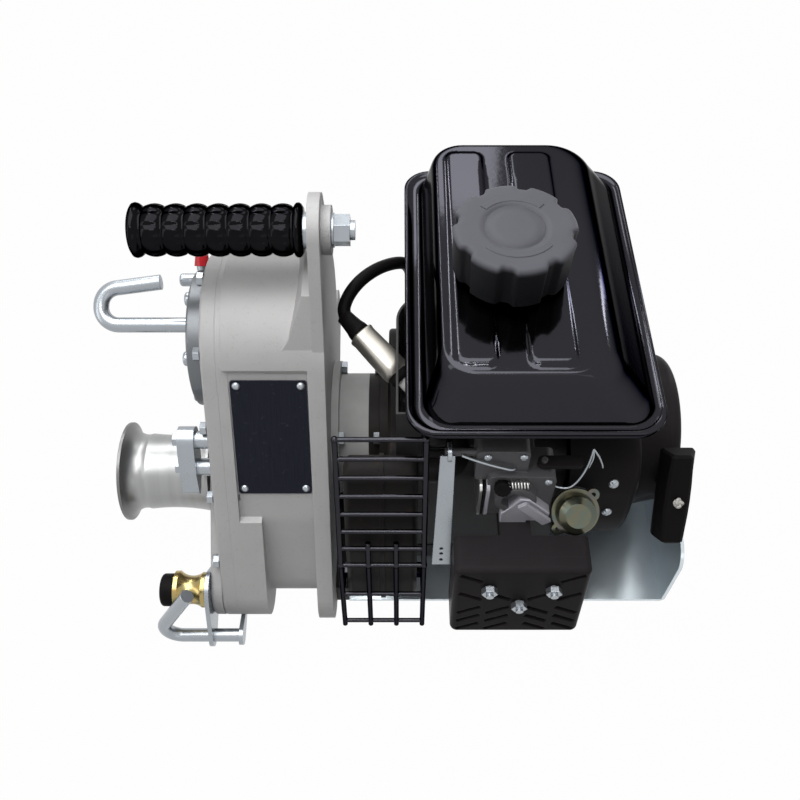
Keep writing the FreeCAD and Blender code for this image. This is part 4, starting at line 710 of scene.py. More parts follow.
def screw_head(name, place, out, radius, height):
    """A domed screw head with a cross recess, standing on a surface"""
    side = out.orthogonal().normalized()
    up = out.cross(side)
    sides = 48
    recess_width, recess_reach, recess_depth = 0.42, 0.6, 0.45 * height
    rings = []
    dome = ((1.0, 0.0), (1.0, 0.35), (0.93, 0.6), (0.78, 0.83), (0.55, 0.96), (0.3, 1.0), (0.1, 1.0))
    for share, rise in dome:
        ring = []
        for turn in round_turn(sides):
            in_slot = abs(math.sin(2 * turn)) < recess_width and share < recess_reach
            lift = height * rise - (recess_depth if in_slot else 0.0)
            ring.append(place + (side * math.cos(turn) + up * math.sin(turn)) * radius * share + out * lift)
        rings.append(ring)
    return lofted_piece(name, rings, "zinc", "frame")


# Operators

class WINCH_OT_stage(bpy.types.Operator):
    """Camera, floor, lamps and a white world"""
    bl_idname = "winch.stage"
    bl_label = "Stage"

    # Place, size and power of the lamps that show only as mirrored strips
    glints = {
        "rear_glint": ((0.0, 0.60, 0.66), (0.16, 0.16), 0.5),
        "left_glint": ((-0.45, 0.70, 0.80), (0.05, 0.5), 2.0),
        "right_glint": ((0.85, 0.70, 0.45), (0.04, 0.5), 2.0),
        "front_glint": ((-0.10, -0.60, 1.20), (0.5, 0.03), 1.4),
    }
    lamp_target = Vector((-0.04, 0.0, 0.13))
    sensor_width = 36.0
    nearest_seen = 0.01
    floor_reach = 6.0
    floor_whiteness = 0.985
    white = (1.0, 1.0, 1.0)

    def execute(self, context):
        stage = context.scene.winch_stage
        camera = bpy.data.cameras.new("camera")
        camera.sensor_width = self.sensor_width
        camera.lens = stage.lens
        camera.clip_start = self.nearest_seen
        viewer = bpy.data.objects.new("camera", camera)
        viewer.location = stage.camera_place
        viewer.rotation_euler = (stage.camera_tilt, 0.0, 0.0)
        context.scene.collection.objects.link(viewer)
        context.scene.camera = viewer
        self.make_world(context, stage)
        self.make_floor(context, stage)
        self.make_lamp(context, "key_box", (-0.25, 0.08, 1.30), (1.3, 1.0), stage.key_power)
        self.make_lamp(context, "side_strip", (-1.0, -0.35, 0.55), (0.25, 0.9), stage.side_power)
        self.make_lamp(context, "front_box", (0.35, -1.1, 0.55), (0.8, 0.4), stage.front_power)
        for name, (place, size, power) in self.glints.items():
            self.make_lamp(context, name, place, size, power, False)
        context.scene.view_settings.view_transform = "Standard"
        return {"FINISHED"}

    def make_lamp(self, context, name, place, size, power, lights_matt=True):
        """An area lamp that faces the winch"""
        light = bpy.data.lights.new(name, "AREA")
        light.shape = "RECTANGLE"
        light.size, light.size_y = size
        light.energy = power
        lamp = bpy.data.objects.new(name, light)
        lamp.location = place
        lamp.visible_diffuse = lights_matt
        aim = self.lamp_target - Vector(place)
        lamp.rotation_euler = aim.to_track_quat("-Z", "Y").to_euler()
        context.scene.collection.objects.link(lamp)

    def make_world(self, context, stage):
        """Even light from all round, seen as plain white"""
        world = bpy.data.worlds.new("white_room")
        f = Finish("white_room", world)
        strength = f.node("ShaderNodeMapRange", {}, {0: f.white_rays(), 3: stage.world_light, 4: 1.0})
        background = f.node("ShaderNodeBackground", {}, {"Color": self.white, "Strength": strength})
        f.node("ShaderNodeOutputWorld", {}, {"Surface": background})
        context.scene.world = world

    def make_floor(self, context, stage):
        """A wide floor that looks white and keeps a trace of the shadow"""
        reach = self.floor_reach
        low = solid_box[0].z
        mesh = bpy.data.meshes.new("floor")
        corners = [(-reach, -reach, low), (reach, -reach, low), (reach, reach, low), (-reach, reach, low)]
        mesh.from_pydata(corners, [], [(0, 1, 2, 3)])
        floor = bpy.data.objects.new("floor", mesh)
        context.scene.collection.objects.link(floor)
        f = Finish("pale_floor")
        matt = f.node("ShaderNodeBsdfDiffuse", {}, {"Color": tuple(stage.floor_colour)})
        glow = f.node("ShaderNodeEmission", {}, {"Color": self.white, "Strength": 1.0})
        share = f.white_rays() * self.floor_whiteness
        both = f.node("ShaderNodeMixShader", {}, {0: share, 1: matt, 2: glow})
        f.node("ShaderNodeOutputMaterial", {}, {"Surface": both})
        mesh.materials.append(f.material)


class WINCH_OT_gear_case(bpy.types.Operator):
    """Blasted castings, the bearing cap and the bolts of the gear case"""
    bl_idname = "winch.gear_case"
    bl_label = "Gear case"

    def execute(self, context):
        dress_nodes("cast_alloy", ("gearbox_housing", "gearbox_cover"))
        dress_nodes("dark_steel", ("bearing_cap",))
        dress_nodes("zinc", ("case_bolts", "rope_guard", "nameplate_rivets"))
        dress_nodes("red", ("nipple_cap",))
        dress_nodes("nameplate", ("nameplate",))
        return {"FINISHED"}


class WINCH_OT_gear_train(bpy.types.Operator):
    """Gears, shafts, bearings and the clutch"""
    bl_idname = "winch.gear_train"
    bl_label = "Gear train"

    def execute(self, context):
        dress_nodes("steel", (
            "drum_shaft", "output_gear", "first_idler_gear", "second_idler_gear", "idler_axle", "layshaft",
            "layshaft_gear", "input_pinion", "clutch_drum", "shaft_bearings", "clutch_hub", "crankshaft"))
        dress_nodes("heat_black", ("clutch_shoe_1", "clutch_shoe_2"))
        return {"FINISHED"}


class WINCH_OT_rope_way(bpy.types.Operator):
    """Capstan drum, hooks, guide roller and bumper"""
    bl_idname = "winch.rope_way"
    bl_label = "Rope way"

    def execute(self, context):
        dress_nodes("drum_alloy", ("capstan_drum",))
        dress_nodes("zinc", ("exit_hook", "entry_bracket", "roller_pin"))
        dress_nodes("gold", ("guide_roller",))
        dress_nodes("rubber", ("roller_bumper",))
        return {"FINISHED"}


class WINCH_OT_handle(bpy.types.Operator):
    """Carrying handle with its beaded grip"""
    bl_idname = "winch.handle"
    bl_label = "Carrying handle"

    bead_depth = 3.1 * mm
    bead_drop = 0.7 * mm
    bead_fullness = 0.6
    left_collar = 8 * mm
    right_collar = 6 * mm
    bead_steps = 14
    lobe_depth = 0.045
    rod_bore = 6.1 * mm
    sides = 160

    # Left collar: millimetres from the end, and below the crown
    left_form = ((0.0, 4.5), (0.6, 2.2), (1.8, 0.4), (3.4, 0.0), (5.2, 0.6), (6.8, 1.8))
    # Right collar: millimetres from the last bead, and below the crown
    right_form = ((1.0, 1.2), (2.0, 0.3), (3.6, 0.2), (4.8, 1.0))
    right_end_drop = 3.0 * mm

    def execute(self, context):
        sizes = context.scene.winch_sizes
        dress_nodes("zinc", ("handle_rod",))
        crown = (grip_high.z - grip_low.z) / 2
        left, right = grip_low.x + self.left_collar, grip_high.x - self.right_collar
        pitch = (right - left) / sizes.grip_beads

        def lobes(turn, x):
            if not left < x < right:
                return 1.0
            share = math.sin(math.pi * ((x - left) / pitch % 1.0))
            return 1.0 - self.lobe_depth * share * (0.5 - 0.5 * math.cos(sizes.grip_lobes * turn)) ** 3

        profile = self.grip_profile(sizes, crown, left, right, pitch)
        rings = lathe_rings(profile, middle_of("handle_grip"), lobes, self.sides)
        grip = lofted_piece("beaded_grip", rings, "grip_black", "frame")
        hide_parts("handle_grip")
        return {"FINISHED"}

    def grip_profile(self, sizes, crown, left, right, pitch):
        """Pairs of place along the grip and radius, from the left collar over the beads to the right one"""
        valley = crown - self.bead_depth
        rise = crown - self.bead_drop - valley
        profile = [(grip_low.x, 0.001 * mm)]
        profile += [(grip_low.x + along * mm, crown - drop * mm) for along, drop in self.left_form]
        for bead in range(sizes.grip_beads):
            for step in range(self.bead_steps):
                share = step / self.bead_steps
                swell = math.sin(math.pi * share) ** self.bead_fullness
                profile.append((left + pitch * (bead + share), valley + rise * swell))
        profile.append((right, valley))
        profile += [(right + along * mm, crown - drop * mm) for along, drop in self.right_form]
        profile += [(grip_high.x, crown - self.right_end_drop), (grip_high.x, self.rod_bore)]
        return profile


class WINCH_OT_engine(bpy.types.Operator):
    """Crankcase, cylinder, cowls and the inner engine pieces"""
    bl_idname = "winch.engine"
    bl_label = "Engine"

    # Place in millimetres and slope in degrees of the screws on the front of the fan cowl
    cowl_screws = ((spot(89, -71.6, 131.2), 20), (spot(89.5, -75.4, 101), 7))
    cowl_screw_radius = 3.6 * mm
    cowl_screw_height = 2.4 * mm
    cowl_screw_sink = 0.4 * mm
    # A black strip stands in as painted shade in the gap beside the gear case
    rail_front = -95.5 * mm
    rail_back = 60 * mm
    rail_bottom = 0.1 * mm
    rail_top = 22 * mm
    rail_edge = 0.5 * mm

    def execute(self, context):
        dress_nodes("engine_alloy", ("crankcase", "cylinder_head", "flywheel", "cylinder_shroud"))
        dress_nodes("heat_black", ("crankcase_cover", "muffler"))
        dress_nodes("gloss_black", ("muffler_guard",))
        dress_nodes("clutch_alloy", ("clutch_housing",))
        dress_nodes("satin_black", ("fan_housing", "recoil_cover", "ignition_coil", "recoil_pulley"))
        dress_nodes("zinc", ("engine_fasteners",))
        dress_nodes("zinc_sheet", ("base_plate",))
        self.make_cowl_screws()
        # Painted shade: a black strip fills the gap beside the gear case
        self.make_shade_filler()
        return {"FINISHED"}

    def make_cowl_screws(self):
        """Slotted screws on the front of the fan cowl"""
        for k, (place, slope) in enumerate(self.cowl_screws):
            out = Vector((0, -math.cos(math.radians(slope)), math.sin(math.radians(slope))))
            seat = place - out * self.cowl_screw_sink
            screw_head("cowl_screw_%d" % k, seat, out, self.cowl_screw_radius, self.cowl_screw_height)

    def make_shade_filler(self):
        """Black strip of painted shade that closes the gap between the base sheet and the back of the gear
        case
        """
        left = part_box("clutch_housing")[0].x
        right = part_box("base_plate")[0].x
        edge = self.rail_edge
        levels = ((self.rail_bottom, edge), (edge, 0.0), (self.rail_top - edge, 0.0), (self.rail_top, edge))
        rings = []
        for z, inset in levels:
            x0, x1 = left + inset, right - inset
            y0, y1 = self.rail_front + inset, self.rail_back - inset
            corners = ((x0, y0), (x1, y0), (x1, y1), (x0, y1))
            rings.append([Vector((x, y, z)) for x, y in corners])
        lofted_piece("shade_filler_rail", rings, "heat_black", "frame", False)


class WINCH_OT_tank(bpy.types.Operator):
    """Pressed fuel tank in gloss enamel, with its cap"""
    bl_idname = "winch.tank"
    bl_label = "Fuel tank"

    # Insets of the walls from the seam at the left, right, front and back, in millimetres
    foot_insets = (11.0, 8.0, 5.0, 9.0)
    top_insets = (21.0, 45.0, 10.5, 27.0)
    height = 45.0 * mm
    corner = 18.0 * mm
    flange_rise = 2 * mm
    foot_fillet = 3.2 * mm
    hem_steps = 8
    hem_start = -60
    hem_sweep = 210
    fillet_steps = 6
    wall_steps = 6
    shoulder_steps = 10
    wall_share = 0.70
    wall_lean = 0.55
    shoulder_lean = 0.74
    top_rows = 30
    last_row_half = 0.6 * mm
    least_corner = 0.4 * mm
    neck_radius = 20 * mm
    neck_bore = 16.5 * mm
    neck_sink = 2 * mm
    neck_sides = 48

    # Left and right edges of the pressed pads, in millimetres
    pads = ((-22, 4), (18, 47))
    pad_front = 14 * mm
    pad_back = 33 * mm
    pad_corner = 7 * mm

    # The cap in millimetres: heights with insets, drops below the top with insets, drops with ways out
    cap_foot = ((0.0, 4.0), (0.0, 2.2), (0.6, 1.6))
    cap_rim = ((3.0, 0.1), (1.6, 0.4), (0.6, 1.3), (0.1, 2.6), (0.0, 4.5), (0.0, 7.0))
    cap_ring = ((0.0, 4.0), (0.0, 0.8), (0.9, 0.4), (0.9, -0.4), (0.0, -0.8))
    cap_wall = (0.2, 0.4, 0.6, 0.75)
    cap_wall_inset = 1.6 * mm
    cap_wall_swell = 1.2 * mm
    cap_groove = 16.9 * mm
    cap_inner_share = 0.6
    cap_last_radius = 1 * mm
    cap_sides = 240
    first_notch = math.radians(-11)
    notch_half = math.radians(9.5)
    notch_depth = 0.085
    notch_inset = 5 * mm
    notch_flat = 1.7
    arc_starts = (20, 200)
    arc_lead = 25
    arc_sweep = 95
    arc_steps = 24
    arc_out = 5.2 * mm
    arc_half_width = 2.6 * mm
    arc_slope = 0.6 * mm
    arc_sink = 0.6 * mm
    arc_rise = 0.45 * mm

    def execute(self, context):
        sizes = context.scene.winch_sizes
        dress_nodes("gloss_black", ("fuel_tank_bottom",))
        points, faces = loft(self.shell_rings(sizes), False, True)
        neck_foot = tank_low.z + self.height - self.neck_sink
        neck = [(neck_foot, self.neck_radius), (tank_high.z, self.neck_radius),
                (tank_high.z, self.neck_bore), (neck_foot, self.neck_bore)]
        loft(upright_rings(neck, cap_middle, self.neck_sides), False, False, points, faces)
        shell = piece_from("tank_shell", points, faces, "gloss_black", "frame")
        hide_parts("fuel_tank_top")
        self.make_cap(sizes)
        self.make_cap_arcs()
        return {"FINISHED"}

    def outline(self, insets, z, radius):
        left, right, front, back = insets
        x0, x1 = tank_low.x + left, tank_high.x - right
        y0, y1 = tank_low.y + front, tank_high.y - back
        return rounded_outline(x0, x1, y0, y1, z, radius)

    def shell_rings(self, sizes):
        """Rings from the rolled hem over the flange, up the walls and across the pressed top"""
        hem = sizes.tank_hem
        foot = [inset * mm for inset in self.foot_insets]
        top = [inset * mm for inset in self.top_insets]
        rings = []
        for step in range(self.hem_steps + 1):
            turn = math.radians(self.hem_start + self.hem_sweep * step / self.hem_steps)
            inset = hem - hem * math.cos(turn)
            rings.append(self.outline([inset] * 4, tank_low.z + hem + hem * math.sin(turn), self.corner))
        flange = tank_low.z + self.flange_rise
        fillet = self.foot_fillet
        for step in range(self.fillet_steps + 1):
            turn = math.radians(90 * step / self.fillet_steps)
            insets = [inset - fillet * (1 - math.sin(turn)) for inset in foot]
            rise = fillet * (1 - math.cos(turn))
            rings.append(self.outline(insets, flange + rise, self.corner - self.flange_rise))
        wall_start = flange + fillet
        wall = tank_low.z + self.height - wall_start
        for lean, share in self.wall_line():
            insets = [a + (b - a) * lean for a, b in zip(foot, top)]
            rings.append(self.outline(insets, wall_start + wall * share, self.corner))
        spare = (tank_high.x - tank_low.x - top[0] - top[1]) / 2 - self.last_row_half
        for row in range(1, self.top_rows + 1):
            inset = spare * row / self.top_rows
            radius = max(self.corner - inset, self.least_corner)
            ring = self.outline([side + inset for side in top], tank_low.z + self.height, radius)
            for point in ring:
                point.z += self.pad_rise(point, sizes)
            rings.append(ring)
        return rings

    def wall_line(self):
        """Pairs of lean and height, as shares: a straight wall, then a round shoulder"""
        line = []
        for step in range(1, self.wall_steps + 1):
            share = self.wall_share * step / self.wall_steps
            line.append((self.wall_lean * share / self.wall_share, share))
        for step in range(1, self.shoulder_steps + 1):
            t = step / self.shoulder_steps
            lean = (1 - t) ** 2 * self.wall_lean + 2 * t * (1 - t) * self.shoulder_lean + t * t
            share = (1 - t) ** 2 * self.wall_share + 2 * t * (1 - t) + t * t
            line.append((lean, share))
        return line

    def pad_rise(self, point, sizes):
        """Height of the pressed pads above the flat top"""
        front = tank_low.y + self.pad_front
        back = tank_high.y - self.pad_back
        rise = 0.0
        for x0, x1 in self.pads:
            reach = rounded_reach(point, x0 * mm, x1 * mm, front, back, self.pad_corner)
            share = min(max(-reach / sizes.pad_slope, 0.0), 1.0)
            rise = max(rise, sizes.pad_height * smooth_share(share))
        return rise

    def cap_profile(self, radius, height):
        """Pairs of height and radius: foot, wall, rim, ring groove and middle"""
        groove = self.cap_groove
        profile = [(rise * mm, radius - inset * mm) for rise, inset in self.cap_foot]
        for share in self.cap_wall:
            profile.append((height * share, radius - self.cap_wall_inset + self.cap_wall_swell * share))
        profile += [(height - drop * mm, radius - inset * mm) for drop, inset in self.cap_rim]
        profile += [(height - drop * mm, groove + out * mm) for drop, out in self.cap_ring]
        profile += [(height, groove * self.cap_inner_share), (height, self.cap_last_radius)]
        return profile

    def make_cap(self, sizes):
        """Moulded cap with notches round its rim and a ring groove"""
        radius = (cap_high.x - cap_low.x) / 2
        notch_turn = 2 * math.pi / sizes.cap_notches
        notched_width = radius - self.notch_inset - self.cap_groove

        def notched(turn, depth):
            off = (turn - self.first_notch + notch_turn / 2) % notch_turn - notch_turn / 2
            share = max(0.0, 1 - abs(off) / self.notch_half)
            return 1 - depth * smooth_share(min(1.0, self.notch_flat * share))

        rings = []
        for rise, reach in self.cap_profile(radius, cap_high.z - cap_low.z):
            near_rim = min(max((reach - self.cap_groove) / notched_width, 0.0), 1.0)
            depth = self.notch_depth * smooth_share(near_rim)
            ring = []
            for turn in round_turn(self.cap_sides):
                out = reach * notched(turn, depth)
                x, y = cap_middle.x + out * math.cos(turn), cap_middle.y + out * math.sin(turn)
                ring.append(Vector((x, y, cap_low.z + rise)))
            rings.append(ring)
        cap = lofted_piece("fuel_cap_moulding", rings, "cap_grey", "tank_cap")
        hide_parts("fuel_cap")

    def make_cap_arcs(self):
        """Two plain raised arcs on top of the cap"""
        up = Vector((0, 0, 1))
        top = Vector((cap_middle.x, cap_middle.y, cap_high.z))
        foot = self.arc_half_width
        crest = self.arc_half_width - self.arc_slope
        for start in self.arc_starts:
            rings = []
            for step in range(self.arc_steps + 1):
                turn = math.radians(start + self.arc_lead + self.arc_sweep * step / self.arc_steps)
                out = Vector((math.cos(turn), math.sin(turn), 0.0))
                middle = top + out * (self.cap_groove + self.arc_out)
                low, high = middle - up * self.arc_sink, middle + up * self.arc_rise
                rings.append([low - out * foot, high - out * crest, high + out * crest, low + out * foot])
            lofted_piece("cap_arc_%d" % start, rings, "cap_grey", "tank_cap", False)


class WINCH_OT_fuel_and_air(bpy.types.Operator):
    """Carburettor, float bowl, levers and air cleaner"""
    bl_idname = "winch.fuel_and_air"
    bl_label = "Carburettor and air cleaner"

    # Left and right faces in millimetres, and finish, of the plates at the left of the carburettor
    flange_plates = ((-1.0, 1.2, "steel"), (1.6, 3.0, "rubber"), (3.4, 6.0, "pale_alloy"))
    flange_outline = (-90.5, -68, 121, 157)
    flange_corner = 4
    flange_chamfer = 0.4
    flange_edge = 0.3

    knob_start = spot(13.5, -87.5, 157)
    knob_way = Vector((-0.12, -0.86, 0.5)).normalized()
    knob_neck = ((0.0, 2.2), (2.5, 2.2))
    knob_form = ((2.0, 1.0), (2.0, 4.4), (2.8, 5.4), (6.8, 5.4), (7.8, 4.6), (8.0, 3.2), (7.4, 2.4),
                 (7.4, 0.3))
    knob_ribs = 12
    knob_rib_depth = 0.07

    # Outline of the bracket in front of the throat, in millimetres along X and Z
    bracket_outline = ((14, 119), (31, 119), (31, 123), (45, 123), (45, 132), (31, 149), (24.5, 150),
                       (20, 141), (14, 132))
    bracket_middle = (28, 132)
    bracket_front = -94.5
    bracket_back = -87.5
    bracket_chamfer = 0.6
    bracket_half = 14
    strut_top = Vector((25.5, -95.5, 147))
    strut_foot = Vector((43.5, -96.5, 127))
    strut_side = Vector((0.743, 0, 0.669))
    strut_half = 3.4
    strut_end_half = 3.0
    strut_thickness = 2.2

    link_route = (spot(-13, -83.4, 183.5), spot(-2, -86, 180), spot(14, -87, 174), spot(19, -86.6, 172),
                  spot(20, -84, 171))
    link_radius = 0.9 * mm
    spring_start = Vector((16, -90.4, 161.5))
    spring_length = 13
    spring_turns = 7
    spring_steps = 84
    spring_radius = 2.6
    spring_end_radius = 1.2
    spring_wire = 0.55 * mm
    spring_sides = 8
    spring_end_steps = 4
    governor_top = spot(64.4, -83, 190)
    governor_wires = (
        (spot(46, -88, 155.4), spot(52.6, -90, 154.2), spot(59.3, -88, 160.5), spot(64.1, -85, 177.6),
         governor_top),
        (governor_top, spot(66, -84, 183), spot(64.4, -84.5, 172.6), spot(64.5, -84, 171)),
        (governor_top, spot(69, -84, 183), spot(72.9, -84.5, 172.6), spot(73, -84, 171)))
    governor_radius = 0.6 * mm
    body_screws = (spot(2.5, -83.9, 183), spot(24, -83.9, 183), spot(41, -87.9, 161))
    body_screw_radius = 2.6 * mm
    body_screw_height = 2.0 * mm

    def execute(self, context):
        dress_nodes("carb_alloy", ("carburettor",))
        dress_nodes("bowl_gold", ("float_bowl",))
        dress_nodes("zinc", ("throttle_lever",))
        dress_nodes("satin_black", ("choke_lever", "air_cleaner_case", "air_cleaner_cover"))
        dress_nodes("foam", ("filter_element",))
        self.make_flange_plates()
        self.make_idle_knob()
        self.make_bracket()
        self.make_strut()
        self.make_linkage()
        return {"FINISHED"}

    def make_flange_plates(self):
        """Steel flange, gasket and heat shield at the left of the carburettor"""
        front, back, low, high = self.flange_outline
        for k, (x0, x1, finish) in enumerate(self.flange_plates):
            rings = []
            for x in (x0, x0 + self.flange_edge, x1 - self.flange_edge, x1):
                inset = self.flange_chamfer if x in (x0, x1) else 0.0
                ring = rounded_outline(front + inset, back - inset, low + inset, high - inset, 0,
                                       self.flange_corner, 6, 4)
                rings.append([spot(x, place.x, place.y) for place in ring])
            lofted_piece("carburettor_flange_%d" % k, rings, finish, "frame", False)

    def make_idle_knob(self):
        """Ribbed black knob on a steel neck, on the front of the body"""
        start, way = self.knob_start, self.knob_way
        turned_piece("idle_knob_neck", start, way, self.knob_neck, "steel", "frame")
        turned_piece("idle_knob", start, way, self.knob_form, "rubber", "frame",
                     self.knob_ribs, self.knob_rib_depth)

    def make_bracket(self):
        """Folded pale bracket in front of the throat"""
        middle_x, middle_z = self.bracket_middle
        front, chamfer = self.bracket_front, self.bracket_chamfer
        levels = ((self.bracket_back, 0.0), (front + chamfer, 0.0), (front, chamfer))
        rings = []
        for y, inset in levels:
            middle = Vector((middle_x, y, middle_z))
            scale = 1 - inset / self.bracket_half
            corners = [Vector((x, y, z)) for x, z in self.bracket_outline]
            rings.append([(middle + (corner - middle) * scale) * mm for corner in corners])
        lofted_piece("carburettor_bracket", rings, "pale_alloy", "frame", False)

    def make_strut(self):
        """Flat strut across the bracket"""
        out = Vector((0, -self.strut_thickness, 0))
        rings = []
        for share in (0.0, 0.03, 0.97, 1.0):
            place = self.strut_top.lerp(self.strut_foot, share)
            side = self.strut_side * (self.strut_half if 0 < share < 1 else self.strut_end_half)
            corners = (place + side, place + side + out, place - side + out, place - side)
            rings.append([corner * mm for corner in corners])
        lofted_piece("carburettor_strut", rings, "pale_alloy", "frame", False)

    def make_linkage(self):
        """Link rod to the throttle shaft, its return spring, governor wires and three screws"""
        nurbs_curve("throttle_link", self.link_route, self.link_radius, "zinc", "frame")
        self.make_spring()
        for k, wire in enumerate(self.governor_wires):
            nurbs_curve("governor_wire_%d" % k, wire, self.governor_radius, "zinc", "frame")
        for k, place in enumerate(self.body_screws):
            screw_head("carburettor_screw_%d" % k, place, Vector((0, -1, 0)), self.body_screw_radius,
                       self.body_screw_height)

    def make_spring(self):
        """Return spring whose end turns are drawn in"""
        steps, ends = self.spring_steps, self.spring_end_steps
        coil = []
        for step in range(steps + 1):
            angle = 2 * math.pi * self.spring_turns * step / steps
            reach = self.spring_radius if ends < step < steps - ends else self.spring_end_radius
            along = self.spring_length * step / steps
            out = Vector((along, reach * math.cos(angle), reach * math.sin(angle)))
            coil.append((self.spring_start + out) * mm)
        rings = tube_rings(coil, [self.spring_wire] * (steps + 1), self.spring_sides)
        lofted_piece("return_spring", rings, "steel", "frame")


class WINCH_OT_ignition(bpy.types.Operator):
    """Spark plug, its shielded cap and the lead"""
    bl_idname = "winch.ignition"
    bl_label = "Ignition"

    lead_route = (
        spot(-82.2, 11.2, 194.6), spot(-87.6, 16.6, 197.0), spot(-84.4, 26, 203), spot(-76.8, 37.4, 206),
        spot(-66, 50.3, 204), spot(-54.8, 63.7, 196), spot(-45.5, 76, 184), spot(-41, 78, 168),
        spot(-33, 66, 156), spot(-10, 45, 153), spot(6, 38, 153), spot(28, 38, 153))
    plug_seat = spot(-35, -36, 173.8)
    plug_way = Vector((-34, 34, 15)).normalized()

    # Distance along the plug, half width and half height of the shield, in millimetres
    shield_form = ((24, 7.6, 7.6), (24.4, 8.4, 8.4), (30, 8.5, 8.5), (44, 8.3, 8.3), (56, 7.9, 7.9),
                   (58.5, 8.3, 8.1), (59.5, 8.2, 8.0), (59.6, 7.0, 7.0))
    shield_sides = 48
    squareness = 5
    corner_swell = 0.16 / 0.15 * 0.5
    boot_foot = ((18.5, 5.3), (18.5, 7.4), (20, 8.0), (24.2, 8.0), (24.2, 6.5))
    boot_sleeve = ((59, 6.0), (59.4, 7.2), (63, 7.0), (66, 6.2), (71, 5.6), (76, 5.2), (76.4, 4.4))

    def execute(self, context):
        dress_nodes("ceramic", ("spark_plug",))
        self.make_shield()
        for name, form in (("plug_boot_foot", self.boot_foot), ("plug_boot_sleeve", self.boot_sleeve)):
            turned_piece(name, self.plug_seat, self.plug_way, form, "rubber", "frame")
        radius = context.scene.winch_sizes.lead_radius
        lead = nurbs_curve("plug_lead_tube", self.lead_route, radius, "rubber", "frame")
        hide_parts("plug_lead")
        return {"FINISHED"}

    def make_shield(self):
        """Folded metal shield over a rubber plug boot"""
        side = self.plug_way.cross(Vector((0, 0, 1))).normalized()
        up = side.cross(self.plug_way)
        rings = []
        for along, wide, tall in self.shield_form:
            ring = []
            for turn in round_turn(self.shield_sides):
                c, s = math.cos(turn), math.sin(turn)
                square = (abs(c) ** self.squareness + abs(s) ** self.squareness) ** (-1 / self.squareness)
                reach = 1 + self.corner_swell * (square - 1)
                out = side * c * wide * reach + up * s * tall * reach
                ring.append(self.plug_seat + (self.plug_way * along + out) * mm)
            rings.append(ring)
        shield = lofted_piece("plug_shield", rings, "shield", "frame")
        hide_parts("plug_cap")


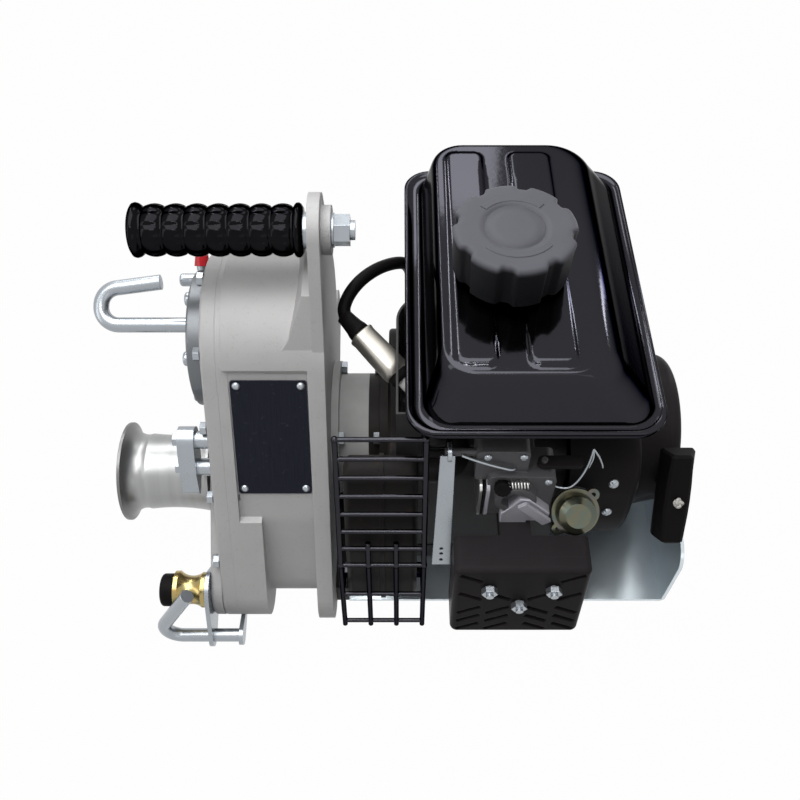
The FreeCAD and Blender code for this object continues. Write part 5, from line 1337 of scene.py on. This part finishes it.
class WINCH_OT_starter(bpy.types.Operator):
    """Pull handle and its rope"""
    bl_idname = "winch.starter"
    bl_label = "Recoil starter"

    # The pull bar, in millimetres along it, across it and out from its middle
    bar_half_length = 33.0
    bar_back_half = 11.0
    bar_front_half = 6.4
    bar_belly = 1.7
    bar_front = 7.5
    bar_shoulder = -3.0
    bar_back = -7.0
    bar_end_trim = 1.6
    bar_stations = (-1.0, -0.95, -0.7, -0.35, 0.0, 0.35, 0.7, 0.95, 1.0)
    corner_share = 0.1

    rope_tail = 29 * mm
    rope_steps = 90
    strand_share = 0.54
    strand_turns = (0, 120, 240)
    strand_sides = 10
    held_in_mouth = 4 * mm
    held_by_bar = 14 * mm
    knot_gap = 2.2
    knot_reach = 0.78 * mm
    knot_depth = 1.5 * mm
    knot_steps = 96
    knot_sides = 12
    knot_share = 0.6

    def execute(self, context):
        sizes = context.scene.winch_sizes
        pull = next(joint for joint in frame["joints"] if joint["name"] == "starter_pull")
        pull_way = Vector(pull["axis"])
        self.make_bar(pull_way)
        self.make_rope(context, sizes, pull_way)
        self.make_knot(sizes, pull_way)
        return {"FINISHED"}

    def make_bar(self, pull_way):
        """Moulded pull bar with a narrow, slightly bellied front between two slanting flanks"""
        upward = Vector((1, 0, 0)).cross(pull_way) * -1
        rings = []
        for share in self.bar_stations:
            trim = self.bar_end_trim if abs(share) == 1.0 else 0.0
            front_half = self.bar_front_half + self.bar_belly * math.cos(math.pi * share / 2) - trim
            back_half = self.bar_back_half - trim
            corners = [(-back_half, self.bar_back + trim), (back_half, self.bar_back + trim),
                       (back_half, self.bar_shoulder), (front_half, self.bar_front - trim),
                       (-front_half, self.bar_front - trim), (-back_half, self.bar_shoulder)]
            lift = upward * self.bar_half_length * share
            ring = []
            for k, (x, out) in enumerate(corners):
                for near_x, near_out in (corners[k - 1], corners[(k + 1) % len(corners)]):
                    across = x + (near_x - x) * self.corner_share
                    outward = out + (near_out - out) * self.corner_share
                    place = Vector((across, 0, 0)) + pull_way * outward + lift
                    ring.append(starter_middle + place * mm)
            rings.append(ring)
        bar = lofted_piece("pull_bar", rings, "rubber", "starter", False)
        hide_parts("starter_handle")

    def make_rope(self, context, sizes, pull_way):
        """Three twisted strands that run from the mouth through the handle"""
        start = starter_middle - pull_way * self.rope_tail
        end = starter_middle + pull_way * self.bar_front * mm
        side = pull_way.orthogonal().normalized()
        up = pull_way.cross(side)
        steps = self.rope_steps
        strand = sizes.rope_radius * self.strand_share
        turns = 2 * math.pi * (end - start).length / sizes.rope_lay
        points, faces = [], []
        for turn in self.strand_turns:
            centres = []
            for step in range(steps + 1):
                share = step / steps
                angle = math.radians(turn) + turns * share
                out = (side * math.cos(angle) + up * math.sin(angle)) * (sizes.rope_radius - strand)
                centres.append(start.lerp(end, share) + out)
            rings = tube_rings(centres, [strand] * (steps + 1), self.strand_sides)
            loft(rings, True, True, points, faces)
        mesh = bpy.data.meshes.new("starter_rope_strands")
        mesh.from_pydata([tuple(point) for point in points], [], faces)
        for face in mesh.polygons:
            face.use_smooth = True
        rope = bpy.data.objects.new("starter_rope_strands", mesh)
        context.scene.collection.objects.link(rope)
        dress(rope, "rope_white")
        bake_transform(rope)
        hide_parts("starter_rope")

    def make_knot(self, sizes, pull_way):
        """A stopper knot on the far side of the handle"""
        centre = starter_middle + pull_way * (self.bar_front + self.knot_gap) * mm
        side = pull_way.orthogonal().normalized()
        up = pull_way.cross(side)
        steps = self.knot_steps
        centres = []
        for step in range(steps):
            t = 2 * math.pi * step / steps
            reach = (2 + math.cos(3 * t)) * self.knot_reach
            out = (side * math.cos(2 * t) + up * math.sin(2 * t)) * reach
            centres.append(centre + out + pull_way * self.knot_depth * math.sin(3 * t))
        radii = [sizes.rope_radius * self.knot_share] * (steps + 1)
        rings = tube_rings(centres + [centres[0]], radii, self.knot_sides)
        lofted_piece("starter_knot", rings, "rope_white", "starter")


class WINCH_PT_panel(bpy.types.Panel):
    """Lists the steps that dress the winch"""
    bl_idname = "WINCH_PT_panel"
    bl_label = "Capstan winch"
    bl_space_type = "VIEW_3D"
    bl_region_type = "UI"
    bl_category = "Winch"

    def draw(self, context):
        for operator in OPERATORS:
            self.layout.operator(operator.bl_idname)
        for group in (context.scene.winch_colours, context.scene.winch_sizes, context.scene.winch_stage):
            box = self.layout.box()
            for name in group.__annotations__:
                box.prop(group, name)


OPERATORS = (
    WINCH_OT_stage, WINCH_OT_gear_case, WINCH_OT_gear_train, WINCH_OT_rope_way, WINCH_OT_handle,
    WINCH_OT_engine, WINCH_OT_tank, WINCH_OT_fuel_and_air, WINCH_OT_ignition, WINCH_OT_starter)
GROUPS = {"winch_colours": WinchColours, "winch_sizes": WinchSizes, "winch_stage": WinchStage}


def register():
    for group in GROUPS.values():
        bpy.utils.register_class(group)
    for operator in OPERATORS:
        bpy.utils.register_class(operator)
    bpy.utils.register_class(WINCH_PT_panel)
    for name, group in GROUPS.items():
        setattr(bpy.types.Scene, name, PointerProperty(type=group))


def unregister():
    for name in GROUPS:
        delattr(bpy.types.Scene, name)
    bpy.utils.unregister_class(WINCH_PT_panel)
    for operator in reversed(OPERATORS):
        bpy.utils.unregister_class(operator)
    for group in reversed(list(GROUPS.values())):
        bpy.utils.unregister_class(group)


def main():
    register()
    bpy.ops.winch.stage()
    bpy.ops.winch.gear_case()
    bpy.ops.winch.gear_train()
    bpy.ops.winch.rope_way()
    bpy.ops.winch.handle()
    bpy.ops.winch.engine()
    bpy.ops.winch.tank()
    bpy.ops.winch.fuel_and_air()
    bpy.ops.winch.ignition()
    bpy.ops.winch.starter()


if __name__ == "__main__":
    main()
